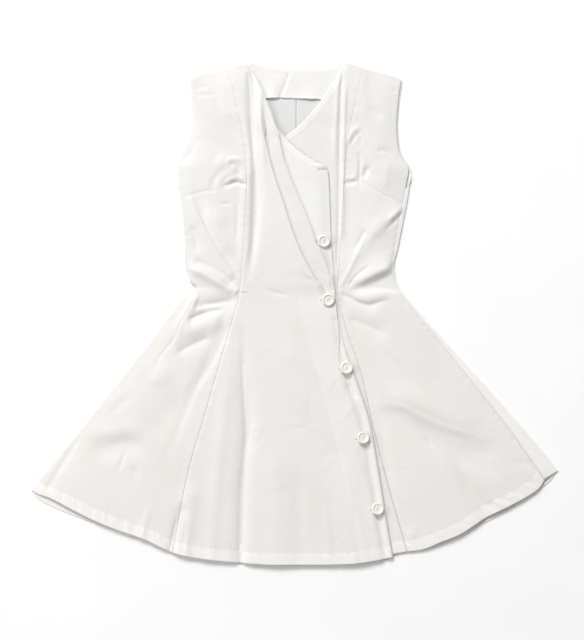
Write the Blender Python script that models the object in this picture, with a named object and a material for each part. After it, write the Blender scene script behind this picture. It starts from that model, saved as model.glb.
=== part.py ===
"""Summer dress laid flat on its back, front side up, as true-shape cloth solids.

All sizes and tables are in millimetres; meshes are made in metres. The frame has +X to the
viewer's right, +Y towards the neck and +Z up from the surface that the dress lies on. The origin
is under the middle of the laid dress.

Every cut piece is a grid of cloth between two long edges, each given by a short table of
stations. A station is a height on the wearer: 0 shoulder, 1 underarm, 2 waist, 3 hem. The grid
is lifted by the height of the lay and by a table of folds, and gets its wall from a Solidify
modifier, which is thicker along the turned hem.
"""
from collections import namedtuple

import bmesh
import bpy
import numpy as np

MM = 0.001

# Driving dimensions
CLOTH = 1.0
HEM_CLOTH = 1.7
HEM_DEPTH = 20.0
SEAM_GAP = 0.4
LAYER_GAP = 0.5
LAY_HEIGHT = 7.5
LAY_ROUNDING = 26.0
UNDER_SHARE = 0.30
PLEAT_UNDER = 25.0
BUTTON_DIAMETER = 23.0
SHOULDER, UNDERARM, WAIST, HEM = 0.0, 1.0, 2.0, 3.0
ROW_STATIONS = (SHOULDER, 0.50, 1.25, 1.75, WAIST + 0.1, HEM)
ROW_COUNTS = (5, 18, 6, 10, 13)

Place = namedtuple("Place", "station across along")
Point = namedtuple("Point", "across along")
Fold = namedtuple("Fold", "height left right fade_in fade_out path")
Button = namedtuple("Button", "name across along lean_across lean_along turn lift")

# ---------------------------------------------------------------- long edges and seams

SIDE_LEFT = (
    Place(0.00, -193, 431), Place(0.20, -190, 397), Place(0.45, -184, 352), Place(0.65, -182, 319),
    Place(0.82, -193, 295), Place(1.00, -214, 273), Place(1.12, -214, 245), Place(1.30, -209, 203),
    Place(1.55, -204, 147), Place(1.80, -203, 95), Place(1.92, -193, 62), Place(2.00, -181, 49),
    Place(2.06, -199, 34), Place(2.25, -269, -55), Place(2.60, -376, -189), Place(3.00, -487, -324),
)
PRINCESS_LEFT = (
    Place(0.00, -121, 454), Place(0.25, -111, 406), Place(0.60, -98, 343), Place(0.85, -90, 295),
    Place(1.10, -88, 243), Place(1.40, -91, 182), Place(1.75, -96, 101), Place(2.00, -101, 43),
    Place(2.25, -130, -62), Place(2.50, -164, -180), Place(2.75, -197, -295), Place(3.00, -225, -440),
)
CLOSING_EDGE = (
    Place(0.00, -82, 462), Place(0.25, -60, 412), Place(0.45, -43, 375), Place(0.62, -31, 343),
    Place(0.68, -21, 330), Place(0.74, -6, 314), Place(0.82, 18, 295), Place(0.90, 42, 280),
    Place(0.96, 58, 273), Place(1.02, 63, 262), Place(1.30, 66, 203), Place(1.60, 68, 138),
    Place(1.80, 72, 86), Place(2.00, 76, 40), Place(2.12, 83, -14), Place(2.22, 90, -52),
    Place(2.38, 114, -120), Place(2.55, 139, -196), Place(2.72, 154, -277), Place(2.88, 167, -358),
    Place(3.00, 182, -448),
)
UNDER_EDGE = (
    Place(0.00, 91, 462), Place(0.30, 53, 401), Place(0.55, 12, 352), Place(0.75, -23, 323),
    Place(0.95, -53, 290), Place(1.10, -62, 249), Place(1.60, -64, 129), Place(2.00, -66, 42),
    Place(2.25, -82, -66), Place(3.00, -147, -439),
)
PRINCESS_RIGHT = (
    Place(0.00, 127, 454), Place(0.25, 116, 408), Place(0.60, 102, 343), Place(0.85, 95, 291),
    Place(1.10, 92, 243), Place(1.40, 89, 182), Place(1.75, 84, 101), Place(2.00, 80, 40),
    Place(2.15, 97, -29), Place(2.30, 123, -106), Place(2.50, 146, -206), Place(2.75, 175, -319),
    Place(3.00, 209, -438),
)
SIDE_RIGHT = (
    Place(0.00, 197, 431), Place(0.25, 192, 397), Place(0.60, 189, 345), Place(0.80, 192, 308),
    Place(0.90, 199, 290), Place(1.00, 211, 269), Place(1.12, 207, 243), Place(1.30, 199, 201),
    Place(1.45, 192, 166), Place(1.65, 185, 123), Place(1.82, 180, 88), Place(1.92, 183, 66),
    Place(2.00, 188, 53), Place(2.25, 262, -42), Place(2.50, 335, -134), Place(2.75, 401, -219),
    Place(3.00, 461, -306),
)
BACK_SIDE_LEFT = (
    Place(0.00, -196, 431), Place(0.20, -192, 395), Place(0.45, -190, 352), Place(0.65, -198, 319),
    Place(0.82, -210, 293), Place(1.00, -217, 273), Place(1.12, -216, 245),
) + SIDE_LEFT[7:]
BACK_SIDE_RIGHT = (
    Place(0.00, 200, 430), Place(0.25, 195, 397), Place(0.60, 191, 345), Place(0.80, 195, 304),
    Place(0.90, 204, 284), Place(1.00, 216, 265), Place(1.12, 214, 243), Place(1.30, 207, 201),
    Place(1.45, 200, 166), Place(1.65, 192, 125), Place(1.82, 184, 88), Place(1.92, 186, 66),
    Place(2.00, 192, 52), Place(2.25, 271, -43), Place(2.50, 351, -132), Place(2.75, 424, -214),
    Place(3.00, 487, -289),
)
CENTRE_BACK = (
    Place(0.00, 4, 451), Place(1.00, 3, 262), Place(2.00, 2, 42), Place(3.00, 5, -454),
)

# The over-front's two long pleats: the edge that shows, and how far the cloth turns back below
PLEAT_A = (
    Place(0.30, -72, 404), Place(0.45, -66, 375), Place(0.62, -59, 345), Place(0.75, -51, 314),
    Place(0.98, -40, 271), Place(1.28, -19, 206), Place(1.48, -5, 156), Place(1.64, 10, 121),
    Place(1.82, 33, 82), Place(1.92, 45, 62), Place(2.00, 53, 43), Place(2.20, 58, -42),
)
PLEAT_B = (
    Place(0.30, -61, 404), Place(0.45, -52, 375), Place(0.62, -37, 343), Place(0.71, -27, 323),
    Place(0.90, -17, 281),
    Place(1.10, -3, 234), Place(1.30, 16, 195), Place(1.46, 30, 158), Place(1.58, 40, 132),
    Place(1.70, 54, 110), Place(1.80, 63, 94), Place(1.90, 67, 70), Place(2.00, 69, 42),
    Place(2.20, 78, -45),
)

# Where each pleat stands up, counted in stations, and where its tip lies in the opened cloth
Pleat = namedtuple("Pleat", "name edge tip starts grows ends sinks")
PLEATS = (
    Pleat("a", PLEAT_A, 0.44, 0.46, 0.70, 2.06, 0.30),
    Pleat("b", PLEAT_B, 0.72, 0.58, 0.66, 2.02, 0.34),
)
PLEAT_STANDS = 0.35
PLEAT_OPENED_WIDTH = 60.0

# Columns of the over-front across its pleats. opened is the share of the cloth where no pleat is
# folded, inward the distance to the left of the pleat's edge (None lies between its neighbours)
# and height the rise above the lay where the pleat is folded.
Column = namedtuple("Column", "opened follows inward height")
TURN = CLOTH + 0.4
PLEAT_COLUMNS = (
    Column(0.00, "seam", 0.0, 0.0),
    Column(0.11, "a", None, 0.9),
    Column(0.22, "a", None, 2.2),
    Column(0.32, "a", PLEAT_UNDER + 3.5, 3.7),
    Column(0.37, "a", 10.0, 5.4),
    Column(0.42, "a", TURN, 6.4),
    Column(0.44, "a", CLOTH, 6.0),
    Column(0.46, "a", TURN, 5.6),
    Column(0.49, "a", PLEAT_UNDER * 0.6, 4.1),
    Column(0.53, "a", PLEAT_UNDER - 1.3, 3.0),
    Column(0.54, "a", PLEAT_UNDER, 1.7),
    Column(0.55, "a", PLEAT_UNDER - 1.3, 0.4),
    Column(0.63, "b", 25.0, 3.1),
    Column(0.67, "b", 12.0, 4.0),
    Column(0.70, "b", TURN, 4.1),
    Column(0.72, "b", CLOTH, 3.5),
    Column(0.74, "b", TURN, 3.1),
    Column(0.78, "b", 20.0, 2.6),
    Column(0.79, "b", 21.3, 1.3),
    Column(0.80, "b", 20.0, 0.0),
    Column(0.87, "b", None, 0.0),
    Column(0.94, "b", None, 0.0),
    Column(1.00, "edge", 0.0, 0.0),
)

# ---------------------------------------------------------------- top and hem edges

TOP_SIDE_LEFT = (Point(-193, 431), Point(-184, 439), Point(-167, 444), Point(-145, 449), Point(-121, 454))
TOP_OVER = (Point(-121, 454), Point(-101, 459), Point(-82, 462))
TOP_UNDER = (Point(91, 462), Point(106, 459), Point(127, 454))
TOP_SIDE_RIGHT = (Point(127, 454), Point(145, 449), Point(166, 444), Point(188, 437), Point(197, 431))
TOP_BACK_LEFT = (
    Point(-196, 431), Point(-186, 439), Point(-167, 444), Point(-123, 455), Point(-101, 461),
    Point(-82, 464), Point(-68, 460), Point(-45, 456), Point(-23, 453), Point(4, 451),
)
TOP_BACK_RIGHT = (
    Point(4, 451), Point(43, 452), Point(66, 455), Point(77, 458), Point(91, 464),
    Point(121, 457), Point(166, 445), Point(188, 438), Point(200, 430),
)
HEM_SIDE_LEFT = (
    Point(-487, -324), Point(-478, -330), Point(-452, -339), Point(-415, -358), Point(-364, -383),
    Point(-318, -401), Point(-277, -415), Point(-244, -431), Point(-225, -440),
)
HEM_OVER = (
    Point(-225, -440), Point(-197, -447), Point(-171, -451), Point(-127, -456), Point(-82, -460),
    Point(-36, -462), Point(47, -462), Point(93, -461), Point(140, -456), Point(182, -448),
)
HEM_UNDER = (Point(-147, -439), Point(-60, -447), Point(47, -451), Point(140, -448), Point(209, -438))
HEM_SIDE_RIGHT = (
    Point(209, -438), Point(232, -435), Point(273, -419), Point(301, -408), Point(352, -376),
    Point(402, -351), Point(436, -332), Point(454, -318), Point(461, -306),
)
HEM_BACK_LEFT = (
    Point(-487, -324), Point(-478, -338), Point(-438, -360), Point(-393, -378), Point(-304, -408),
    Point(-216, -437), Point(-156, -447), Point(-82, -452), Point(5, -454),
)
HEM_BACK_RIGHT = (
    Point(5, -454), Point(84, -452), Point(149, -445), Point(206, -434), Point(251, -425),
    Point(295, -410), Point(384, -369), Point(428, -339), Point(473, -308), Point(487, -289),
)

# ---------------------------------------------------------------- largest folds of the front
# height above the lay, reach to the left and right of the path as it runs, share of the path
# over which the fold rises and sinks at its two ends, and the path

FOLDS = (
    # beside the princess seams
    Fold(-2.4, 11, 13, 0.2, 0.3, ((-81, 452), (-78, 385), (-74, 320), (-67, 255), (-76, 150), (-82, 88))),
    Fold(2.2, 12, 9, 0.2, 0.3, ((-92, 300), (-90, 230), (-92, 150), (-97, 70))),
    Fold(2.4, 11, 10, 0.2, 0.2, ((86, 452), (80, 380), (78, 325), (75, 265))),
    Fold(-2.0, 9, 9, 0.2, 0.2, ((99, 330), (99, 240), (96, 150), (88, 80))),
    # left bust
    Fold(3.2, 14, 20, 0.3, 0.3, ((-150, 290), (-122, 277), (-98, 270))),
    Fold(-2.6, 10, 16, 0.2, 0.2, ((-191, 282), (-170, 208), (-160, 155), (-139, 108), (-104, 56))),
    Fold(2.6, 18, 14, 0.3, 0.3, ((-150, 205), (-140, 150), (-120, 100))),
    Fold(-2.6, 12, 12, 0.3, 0.3, ((-196, 165), (-184, 140), (-174, 112))),
    Fold(4.0, 13, 11, 0.05, 0.3, ((-201, 90), (-176, 80), (-158, 74), (-138, 60), (-124, 46))),
    # left waist and hip
    Fold(-3.4, 9, 10, 0.1, 0.2, ((-186, 22), (-158, 14), (-128, 21), (-104, 26))),
    Fold(4.2, 14, 6, 0.1, 0.35, ((-186, 42), (-193, 20), (-204, -4), (-215, -24), (-219, -62))),
    Fold(-3.0, 10, 12, 0.2, 0.2, ((-198, -8), (-178, -4), (-157, 6))),
    Fold(-3.4, 12, 14, 0.2, 0.2, ((-220, -74), (-199, -61), (-173, -48), (-150, -40))),
    Fold(3.0, 14, 16, 0.2, 0.3, ((-212, -40), (-180, -24), (-150, -14), (-128, -12))),
    Fold(2.8, 12, 14, 0.2, 0.3, ((-228, -92), (-250, -115), (-262, -130))),
    Fold(-2.6, 26, 34, 0.3, 0.3, ((-190, -130), (-232, -185), (-282, -232))),
    Fold(-2.8, 16, 12, 0.3, 0.3, ((-389, -238), (-347, -243), (-312, -234), (-276, -255))),
    Fold(-3.2, 12, 9, 0.2, 0.0, ((-204, -345), (-216, -390), (-229, -442))),
    Fold(3.0, 14, 16, 0.3, 0.0, ((-186, -300), (-196, -370), (-206, -450))),
    # centre skirt
    Fold(-3.8, 13, 15, 0.35, 0.0, ((-95, -40), (-87, -160), (-85, -215), (-93, -275), (-100, -470))),
    Fold(2.4, 22, 22, 0.3, 0.2, ((-51, -60), (-8, -72), (38, -102), (70, -128), (100, -150))),
    Fold(2.2, 30, 26, 0.3, 0.0, ((-40, -230), (-34, -340), (-30, -470))),
    Fold(2.6, 22, 26, 0.3, 0.0, ((92, -240), (104, -350), (118, -465))),
    # right bust
    Fold(-2.4, 12, 9, 0.2, 0.3, ((128, 395), (147, 374), (168, 357))),
    Fold(2.8, 12, 14, 0.2, 0.3, ((97, 316), (106, 338), (123, 350))),
    Fold(-3.2, 11, 12, 0.2, 0.3, ((137, 270), (129, 250), (121, 228))),
    Fold(3.2, 16, 14, 0.3, 0.3, ((171, 288), (168, 258), (164, 226))),
    Fold(3.4, 12, 18, 0.1, 0.2, ((203, 198), (171, 172), (140, 146), (117, 112), (90, 60))),
    Fold(-2.4, 10, 10, 0.2, 0.2, ((134, 158), (120, 138), (106, 116))),
    # right waist: the deep hollow between two sharp folds, and the hip folds under it
    Fold(-8.5, 20, 15, 0.25, 0.0, ((98, 47), (128, 56), (156, 66), (192, 72))),
    Fold(3.6, 12, 10, 0.2, 0.1, ((92, 60), (126, 84), (160, 99), (182, 100))),
    Fold(3.8, 12, 12, 0.1, 0.1, ((96, 36), (128, 44), (160, 46), (188, 46))),
    Fold(-3.4, 8, 12, 0.1, 0.2, ((86, 36), (102, 30), (136, 17), (160, 24))),
    Fold(-2.4, 14, 18, 0.2, 0.3, ((98, -8), (125, -16), (149, -27), (175, -45))),
    Fold(-3.6, 16, 24, 0.2, 0.2, ((138, -172), (176, -175), (224, -200), (330, -243), (392, -244))),
    Fold(3.0, 24, 18, 0.3, 0.3, ((160, -140), (224, -160), (290, -190), (350, -212))),
    Fold(-3.0, 14, 12, 0.3, 0.0, ((292, -268), (325, -323), (345, -350), (358, -382))),
    Fold(2.4, 14, 14, 0.2, 0.0, ((214, -385), (216, -415), (218, -440))),
)

FACING_NECK = (
    Point(-100, 459), Point(-82, 462), Point(-68, 458), Point(-45, 454), Point(-23, 451), Point(4, 449),
    Point(43, 450), Point(66, 453), Point(77, 456), Point(91, 462), Point(107, 459),
)
FACING_FREE = (
    Point(-112, 453), Point(-100, 424), Point(-80, 406), Point(-55, 399), Point(-29, 400), Point(0, 399),
    Point(30, 398), Point(56, 397), Point(84, 404), Point(106, 424), Point(120, 453),
)
FACING_CREASE = Fold(1.4, 3, 9, 0.2, 0.0, ((-12, 444), (-18, 424), (-29, 396)))

# The back's roll up to the front's side seam: how far each step lies inside the outline in mm
# and as a share of the way to the seam, its height as a share of the lay's, and the length of
# cloth up to it where the roll starts
RollStep = namedtuple("RollStep", "inside share rise cloth")
ROLL_SECTION = (
    RollStep(1.0, 0.0, 0.0, 0.0), RollStep(0.0, 0.0, 0.5, 1.6), RollStep(1.0, 0.0, 1.0, 3.2),
    RollStep(1.0, 0.45, 1.0, 4.4), RollStep(1.0, 1.0, 1.0, 5.6),
)
ROLL_RADIUS = 1.25
ROLL_STARTS, ROLL_FOLDED = 1.04, 1.25

BUTTONS = (
    Button("button_1", 54.5, 135.0, 0.00, -0.05, 1.5, 0.0),
    Button("button_2", 62.5, 27.0, 0.05, -0.04, 0.6, 1.6),
    Button("button_3", 95.5, -99.0, 0.06, 0.20, 1.2, 0.0),
    Button("button_4", 126.5, -227.5, 0.06, 0.22, 1.1, 0.0),
    Button("button_5", 153.0, -358.5, 0.04, 0.22, 1.1, 0.0),
)
BUTTON_PROFILE = (
    (0.0, 0.0), (8.4, 0.0), (10.8, 0.9), (BUTTON_DIAMETER / 2, 2.3), (10.7, 3.8),
    (9.0, 4.2), (7.3, 3.6), (6.2, 2.4), (0.0, 2.1),
)
HOLE_SPACING = 4.4
HOLE_PROFILE = ((0.0, -1.0), (0.9, -1.0), (0.9, 3.4), (0.0, 3.4))

# ---------------------------------------------------------------- curves


def smooth(t):
    """Rise from 0 to 1 with level ends."""
    t = np.clip(t, 0.0, 1.0)
    return t * t * (3.0 - 2.0 * t)


def through(knots, values, at):
    """A curve through the values that never swings past them (monotone cubic)."""
    knots = np.asarray(knots, float)
    values = np.asarray(values, float)
    step = np.diff(knots)
    slope = np.diff(values) / step
    tangent = np.empty_like(values)
    tangent[0], tangent[-1] = slope[0], slope[-1]
    same_way = slope[:-1] * slope[1:] > 0
    heavy, light = 2 * step[1:] + step[:-1], step[1:] + 2 * step[:-1]
    safe_before = np.where(same_way, slope[:-1], 1.0)
    safe_after = np.where(same_way, slope[1:], 1.0)
    harmonic = (heavy + light) / (heavy / safe_before + light / safe_after)
    tangent[1:-1] = np.where(same_way, harmonic, 0.0)
    cell = np.clip(np.searchsorted(knots, at, side="right") - 1, 0, len(knots) - 2)
    t = (at - knots[cell]) / step[cell]
    rise = values[cell + 1] - values[cell]
    start, end = tangent[cell] * step[cell], tangent[cell + 1] * step[cell]
    return values[cell] + t * start + t * t * (3 * rise - 2 * start - end) + t**3 * (start + end - 2 * rise)


def long_edge(table, stations):
    """Plan points of a seam or side at the given stations."""
    knots = [place.station for place in table]
    return np.stack([
        through(knots, [place.across for place in table], stations),
        through(knots, [place.along for place in table], stations),
    ], axis=-1)


def cross_edge(points, shares):
    """Plan points of a top or hem edge at the given shares of its length."""
    points = np.array([(p.across, p.along) for p in points], float)
    length = np.concatenate([[0.0], np.cumsum(np.linalg.norm(np.diff(points, axis=0), axis=1))])
    length /= length[-1]
    return np.stack([through(length, points[:, 0], shares), through(length, points[:, 1], shares)], axis=-1)


def grid_stations():
    """Stations of the grids' rows, closer together where the pleats open and close."""
    rows = [
        np.linspace(start, end, count, endpoint=False)
        for start, end, count in zip(ROW_STATIONS, ROW_STATIONS[1:], ROW_COUNTS)
    ]
    return np.concatenate(rows + [[HEM]])


# ---------------------------------------------------------------- height of the lay

SIDE_LEFT_LINE = np.array([(p.along, p.across) for p in SIDE_LEFT[::-1]], float)
SIDE_RIGHT_LINE = np.array([(p.along, p.across) for p in BACK_SIDE_RIGHT[::-1]], float)


def roundness(plan):
    """0 at the dress's sides and shoulders, rising to 1 inside, as laid cloth rounds over."""
    across, along = plan[..., 0], plan[..., 1]
    left = np.interp(along, SIDE_LEFT_LINE[:, 0], SIDE_LEFT_LINE[:, 1])
    right = np.interp(along, SIDE_RIGHT_LINE[:, 0], SIDE_RIGHT_LINE[:, 1])
    top = 456.0 - 0.22 * np.maximum(np.abs(across) - 110.0, 0.0)
    slant = 1.0 - 0.3 * smooth((20.0 - along) / 80.0)
    share = 1.0
    for distance in ((across - left) * slant, (right - across) * slant, top - along):
        share = share * (1.0 - np.exp(-np.maximum(distance, 0.0) / LAY_ROUNDING))
    return share


def rest_level(plan):
    """Height of a front's inner side where it meets the back, over the facing at the neck."""
    across, along = plan[..., 0], plan[..., 1]
    over_facing = smooth((145.0 - np.abs(across)) / 20.0) * smooth((along - 345.0) / 30.0)
    return CLOTH + LAYER_GAP + 1.4 * over_facing


def along_path(path, steps=24):
    """Closely spaced points of a fold's smooth path, with their shares of it."""
    knots = np.linspace(0.0, 1.0, len(path))
    shares = np.linspace(0.0, 1.0, steps)
    path = np.array(path, float)
    return np.stack([through(knots, path[:, 0], shares), through(knots, path[:, 1], shares)], axis=-1), shares


def fold_height(plan, fold):
    """How far one fold lifts or sinks the cloth at each plan point."""
    line, shares = along_path(fold.path)
    flat = plan.reshape(-1, 2)
    run = np.diff(line, axis=0)
    offset = flat[:, None, :] - line[None, :-1, :]
    t = np.clip((offset * run).sum(-1) / (run * run).sum(-1), 0.0, 1.0)
    gap = offset - t[..., None] * run
    distance = np.hypot(gap[..., 0], gap[..., 1])
    nearest = distance.argmin(axis=1)
    row = np.arange(len(flat))
    side = run[nearest, 0] * gap[row, nearest, 1] - run[nearest, 1] * gap[row, nearest, 0]
    share = shares[nearest] + t[row, nearest] * (shares[1] - shares[0])
    reach = np.where(side > 0, fold.left, fold.right)
    lift = fold.height * np.exp(-((distance[row, nearest] / reach) ** 2))
    if fold.fade_in:
        lift = lift * (0.15 + 0.85 * smooth(share / fold.fade_in))
    if fold.fade_out:
        lift = lift * (0.15 + 0.85 * smooth((1.0 - share) / fold.fade_out))
    return lift.reshape(plan.shape[:-1])


def lay_height(plan, share=1.0):
    """Height of a front piece's inner side; share flattens the layers that lie below."""
    rest = rest_level(plan)
    folds = sum(fold_height(plan, fold) for fold in FOLDS)
    full = LAY_HEIGHT * roundness(plan)
    lifted = full + folds * smooth(roundness(plan) * 1.6)
    floor = 0.25 * roundness(plan)
    lifted = np.where(lifted < floor + 1.0, floor + np.log1p(np.exp((lifted - floor) * 2.0)) / 2.0, lifted)
    return rest + share * lifted


# ---------------------------------------------------------------- cloth solids


def material(name, colour, roughness, sheen=0.0):
    """One Principled material for a sub-part."""
    result = bpy.data.materials.new(name)
    result.use_nodes = True
    shader = result.node_tree.nodes["Principled BSDF"]
    shader.inputs["Base Color"].default_value = (*colour, 1.0)
    shader.inputs["Roughness"].default_value = roughness
    shader.inputs["Metallic"].default_value = 0.0
    shader.inputs["Sheen Weight"].default_value = sheen
    result.diffuse_color = (*colour, 1.0)
    return result


def cloth_object(name, points, double, finish):
    """A sheet of cloth over a grid of points, with its wall towards the outer side.

    points holds rows of (across, along, height); double holds, for each point, how far the
    cloth is turned double there, from 0 to 1.
    """
    rows, columns = points.shape[:2]
    mesh = bpy.data.meshes.new(name)
    shape = bmesh.new()
    bmesh.ops.create_grid(shape, x_segments=columns - 1, y_segments=rows - 1, size=1.0)
    flat = points.reshape(-1, 3) * MM
    for vertex, place in zip(shape.verts, flat):
        vertex.co = place
    bmesh.ops.recalc_face_normals(shape, faces=shape.faces)
    if sum(face.normal.z * face.calc_area() for face in shape.faces) < 0:
        bmesh.ops.reverse_faces(shape, faces=shape.faces)
    shape.to_mesh(mesh)
    shape.free()
    mesh.shade_smooth()
    body = bpy.data.objects.new(name, mesh)
    bpy.context.collection.objects.link(body)
    group = body.vertex_groups.new(name="turned_double")
    for index, weight in enumerate(double.reshape(-1)):
        group.add([index], float(weight), "REPLACE")
    wall = body.modifiers.new("wall", "SOLIDIFY")
    wall.thickness = HEM_CLOTH * MM
    wall.offset = 1.0
    wall.vertex_group = "turned_double"
    wall.thickness_vertex_group = CLOTH / HEM_CLOTH
    wall.use_even_offset = False
    mesh.materials.append(finish)
    return body


def panel_plan(left, right, top, hem, stations, shares):
    """Plan points of a piece between two long edges, a top edge and a hem edge."""
    left_points = long_edge(left, stations)[:, None, :]
    right_points = long_edge(right, stations)[:, None, :]
    across = shares[None, :, None]
    plan = (1 - across) * left_points + across * right_points
    down = ((stations - stations[0]) / (stations[-1] - stations[0]))[:, None, None]
    top_bow = cross_edge(top, shares) - plan[0]
    hem_bow = cross_edge(hem, shares) - plan[-1]
    near_top = smooth(1.0 - down * 4.0)
    near_hem = smooth(down * 1.25 - 0.25)
    return plan + near_top * top_bow[None] + near_hem * hem_bow[None]


def hem_weight(plan):
    """1 on the turned hem, 0 above it, from each column's distance to its last point."""
    to_hem = np.linalg.norm(plan - plan[-1:], axis=-1)
    return (to_hem < HEM_DEPTH * 1.02).astype(float)


def with_hem_rows(plan):
    """Slide the two rows above the hem to the upper edge of the turned band."""
    edge = plan[-1]
    run = plan[-3] - edge
    length = np.linalg.norm(run, axis=-1, keepdims=True)
    direction = run / length
    plan[-2] = edge + direction * HEM_DEPTH * 0.98
    plan[-3] = edge + direction * HEM_DEPTH * 1.12
    return plan


def inset_sides(plan, left_gap, right_gap):
    """Move the outer columns in by half a seam gap so that neighbours stay clear."""
    inward = plan[:, 1] - plan[:, 0]
    inward /= np.linalg.norm(inward, axis=-1, keepdims=True)
    plan[:, 0] += inward * left_gap
    inward = plan[:, -2] - plan[:, -1]
    inward /= np.linalg.norm(inward, axis=-1, keepdims=True)
    plan[:, -1] += inward * right_gap
    return plan


def joined(plan, height):
    """Rows of (across, along, height)."""
    return np.concatenate([plan, np.broadcast_to(height, plan.shape[:2])[..., None]], axis=-1)


def lower_share(plan, seam_side):
    """Under the closing the fronts lie flatter, and rise to the full lay away from it."""
    away = np.abs(plan[..., 0] - seam_side[:, None])
    return UNDER_SHARE + (1.0 - UNDER_SHARE) * smooth(away / 70.0)


def make_side_front_left(finish):
    """Left side front, from the side seam to the left princess seam."""
    stations = grid_stations()
    shares = np.linspace(0.0, 1.0, 13)
    plan = panel_plan(SIDE_LEFT, PRINCESS_LEFT, TOP_SIDE_LEFT, HEM_SIDE_LEFT, stations, shares)
    plan = with_hem_rows(plan)
    plan = inset_sides(plan, 0.3, SEAM_GAP / 2)
    return cloth_object("side_front_left", joined(plan, lay_height(plan)), hem_weight(plan), finish)


def make_side_front_right(finish):
    """Right side front, from the right princess seam to the side seam."""
    stations = grid_stations()
    shares = np.linspace(0.0, 1.0, 13)
    plan = panel_plan(PRINCESS_RIGHT, SIDE_RIGHT, TOP_SIDE_RIGHT, HEM_SIDE_RIGHT, stations, shares)
    plan = with_hem_rows(plan)
    plan = inset_sides(plan, SEAM_GAP / 2, SEAM_GAP / 2)
    height = lay_height(plan, lower_share(plan, plan[:, 0, 0]))
    return cloth_object("side_front_right", joined(plan, height), hem_weight(plan), finish)


def make_front_under(finish):
    """The centre front that the closing covers."""
    stations = grid_stations()
    shares = np.linspace(0.0, 1.0, 8)
    plan = panel_plan(UNDER_EDGE, PRINCESS_RIGHT, TOP_UNDER, HEM_UNDER, stations, shares)
    plan = with_hem_rows(plan)
    plan = inset_sides(plan, 0.0, SEAM_GAP / 2)
    height = lay_height(plan, UNDER_SHARE)
    return cloth_object("front_under", joined(plan, height), hem_weight(plan), finish)


def make_front_over(finish):
    """The centre front that laps over, with its two long pleats from neck to waist button."""
    stations = grid_stations()
    shares = np.array([column.opened for column in PLEAT_COLUMNS])
    plan = panel_plan(PRINCESS_LEFT, CLOSING_EDGE, TOP_OVER, HEM_OVER, stations, shares)
    plan = with_hem_rows(plan)
    plan = inset_sides(plan, SEAM_GAP / 2, 0.0)
    height = np.zeros(plan.shape[:2])
    near = smooth((stations - 0.28) / 0.16) * smooth((2.60 - stations) / 0.50)
    for pleat in PLEATS:
        folded = smooth((stations - pleat.starts) / pleat.grows)
        folded = folded * smooth((pleat.ends - stations) / pleat.sinks)
        stays = np.clip(stations, pleat.edge[0].station, pleat.edge[-1].station)
        edge = long_edge(pleat.edge, stays)[:, 0]
        turned_back = np.clip((folded - PLEAT_STANDS) / (1.0 - PLEAT_STANDS), 0.0, 1.0) ** 1.5
        sideways = smooth((folded - PLEAT_STANDS) / 0.35)
        for index, column in enumerate(PLEAT_COLUMNS):
            if column.follows != pleat.name:
                continue
            height[:, index] = column.height * smooth(folded / PLEAT_STANDS)
            if column.inward is None:
                continue
            depth = np.minimum(column.inward, 1.0 + column.inward * (0.15 + 0.85 * turned_back))
            opened = edge + (column.opened - pleat.tip) * PLEAT_OPENED_WIDTH
            place = (1 - sideways) * opened + sideways * (edge - depth)
            plan[:, index, 0] += near * (place - plan[:, index, 0])
    held = [index for index, column in enumerate(PLEAT_COLUMNS) if column.inward is not None]
    for index, column in enumerate(PLEAT_COLUMNS):
        if column.inward is None:
            before = max(place for place in held if place < index)
            after = min(place for place in held if place > index)
            span = PLEAT_COLUMNS[after].opened - PLEAT_COLUMNS[before].opened
            share = (column.opened - PLEAT_COLUMNS[before].opened) / span
            plan[:, index, 0] = (1 - share) * plan[:, before, 0] + share * plan[:, after, 0]
    total = lay_height(plan) + height
    return cloth_object("front_over", joined(plan, total), hem_weight(plan), finish)


def make_back_left(finish):
    """Left half of the back, flat on the surface."""
    stations = grid_stations()
    plan = panel_plan(
        BACK_SIDE_LEFT, CENTRE_BACK, TOP_BACK_LEFT, HEM_BACK_LEFT, stations, np.linspace(0.0, 1.0, 8)
    )
    plan = with_hem_rows(plan)
    plan = inset_sides(plan, 0.0, SEAM_GAP / 2)
    return cloth_object("back_left", joined(plan, 0.0), np.zeros(plan.shape[:2]), finish)


def curled(length, bend):
    """Distance outward and height of a point on cloth that curls up by an angle at its edge."""
    angle = np.minimum(length / ROLL_RADIUS, bend)
    straight = length - ROLL_RADIUS * angle
    outward = ROLL_RADIUS * np.sin(angle) + straight * np.cos(angle)
    return outward, ROLL_RADIUS * (1.0 - np.cos(angle)) + straight * np.sin(angle)


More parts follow.
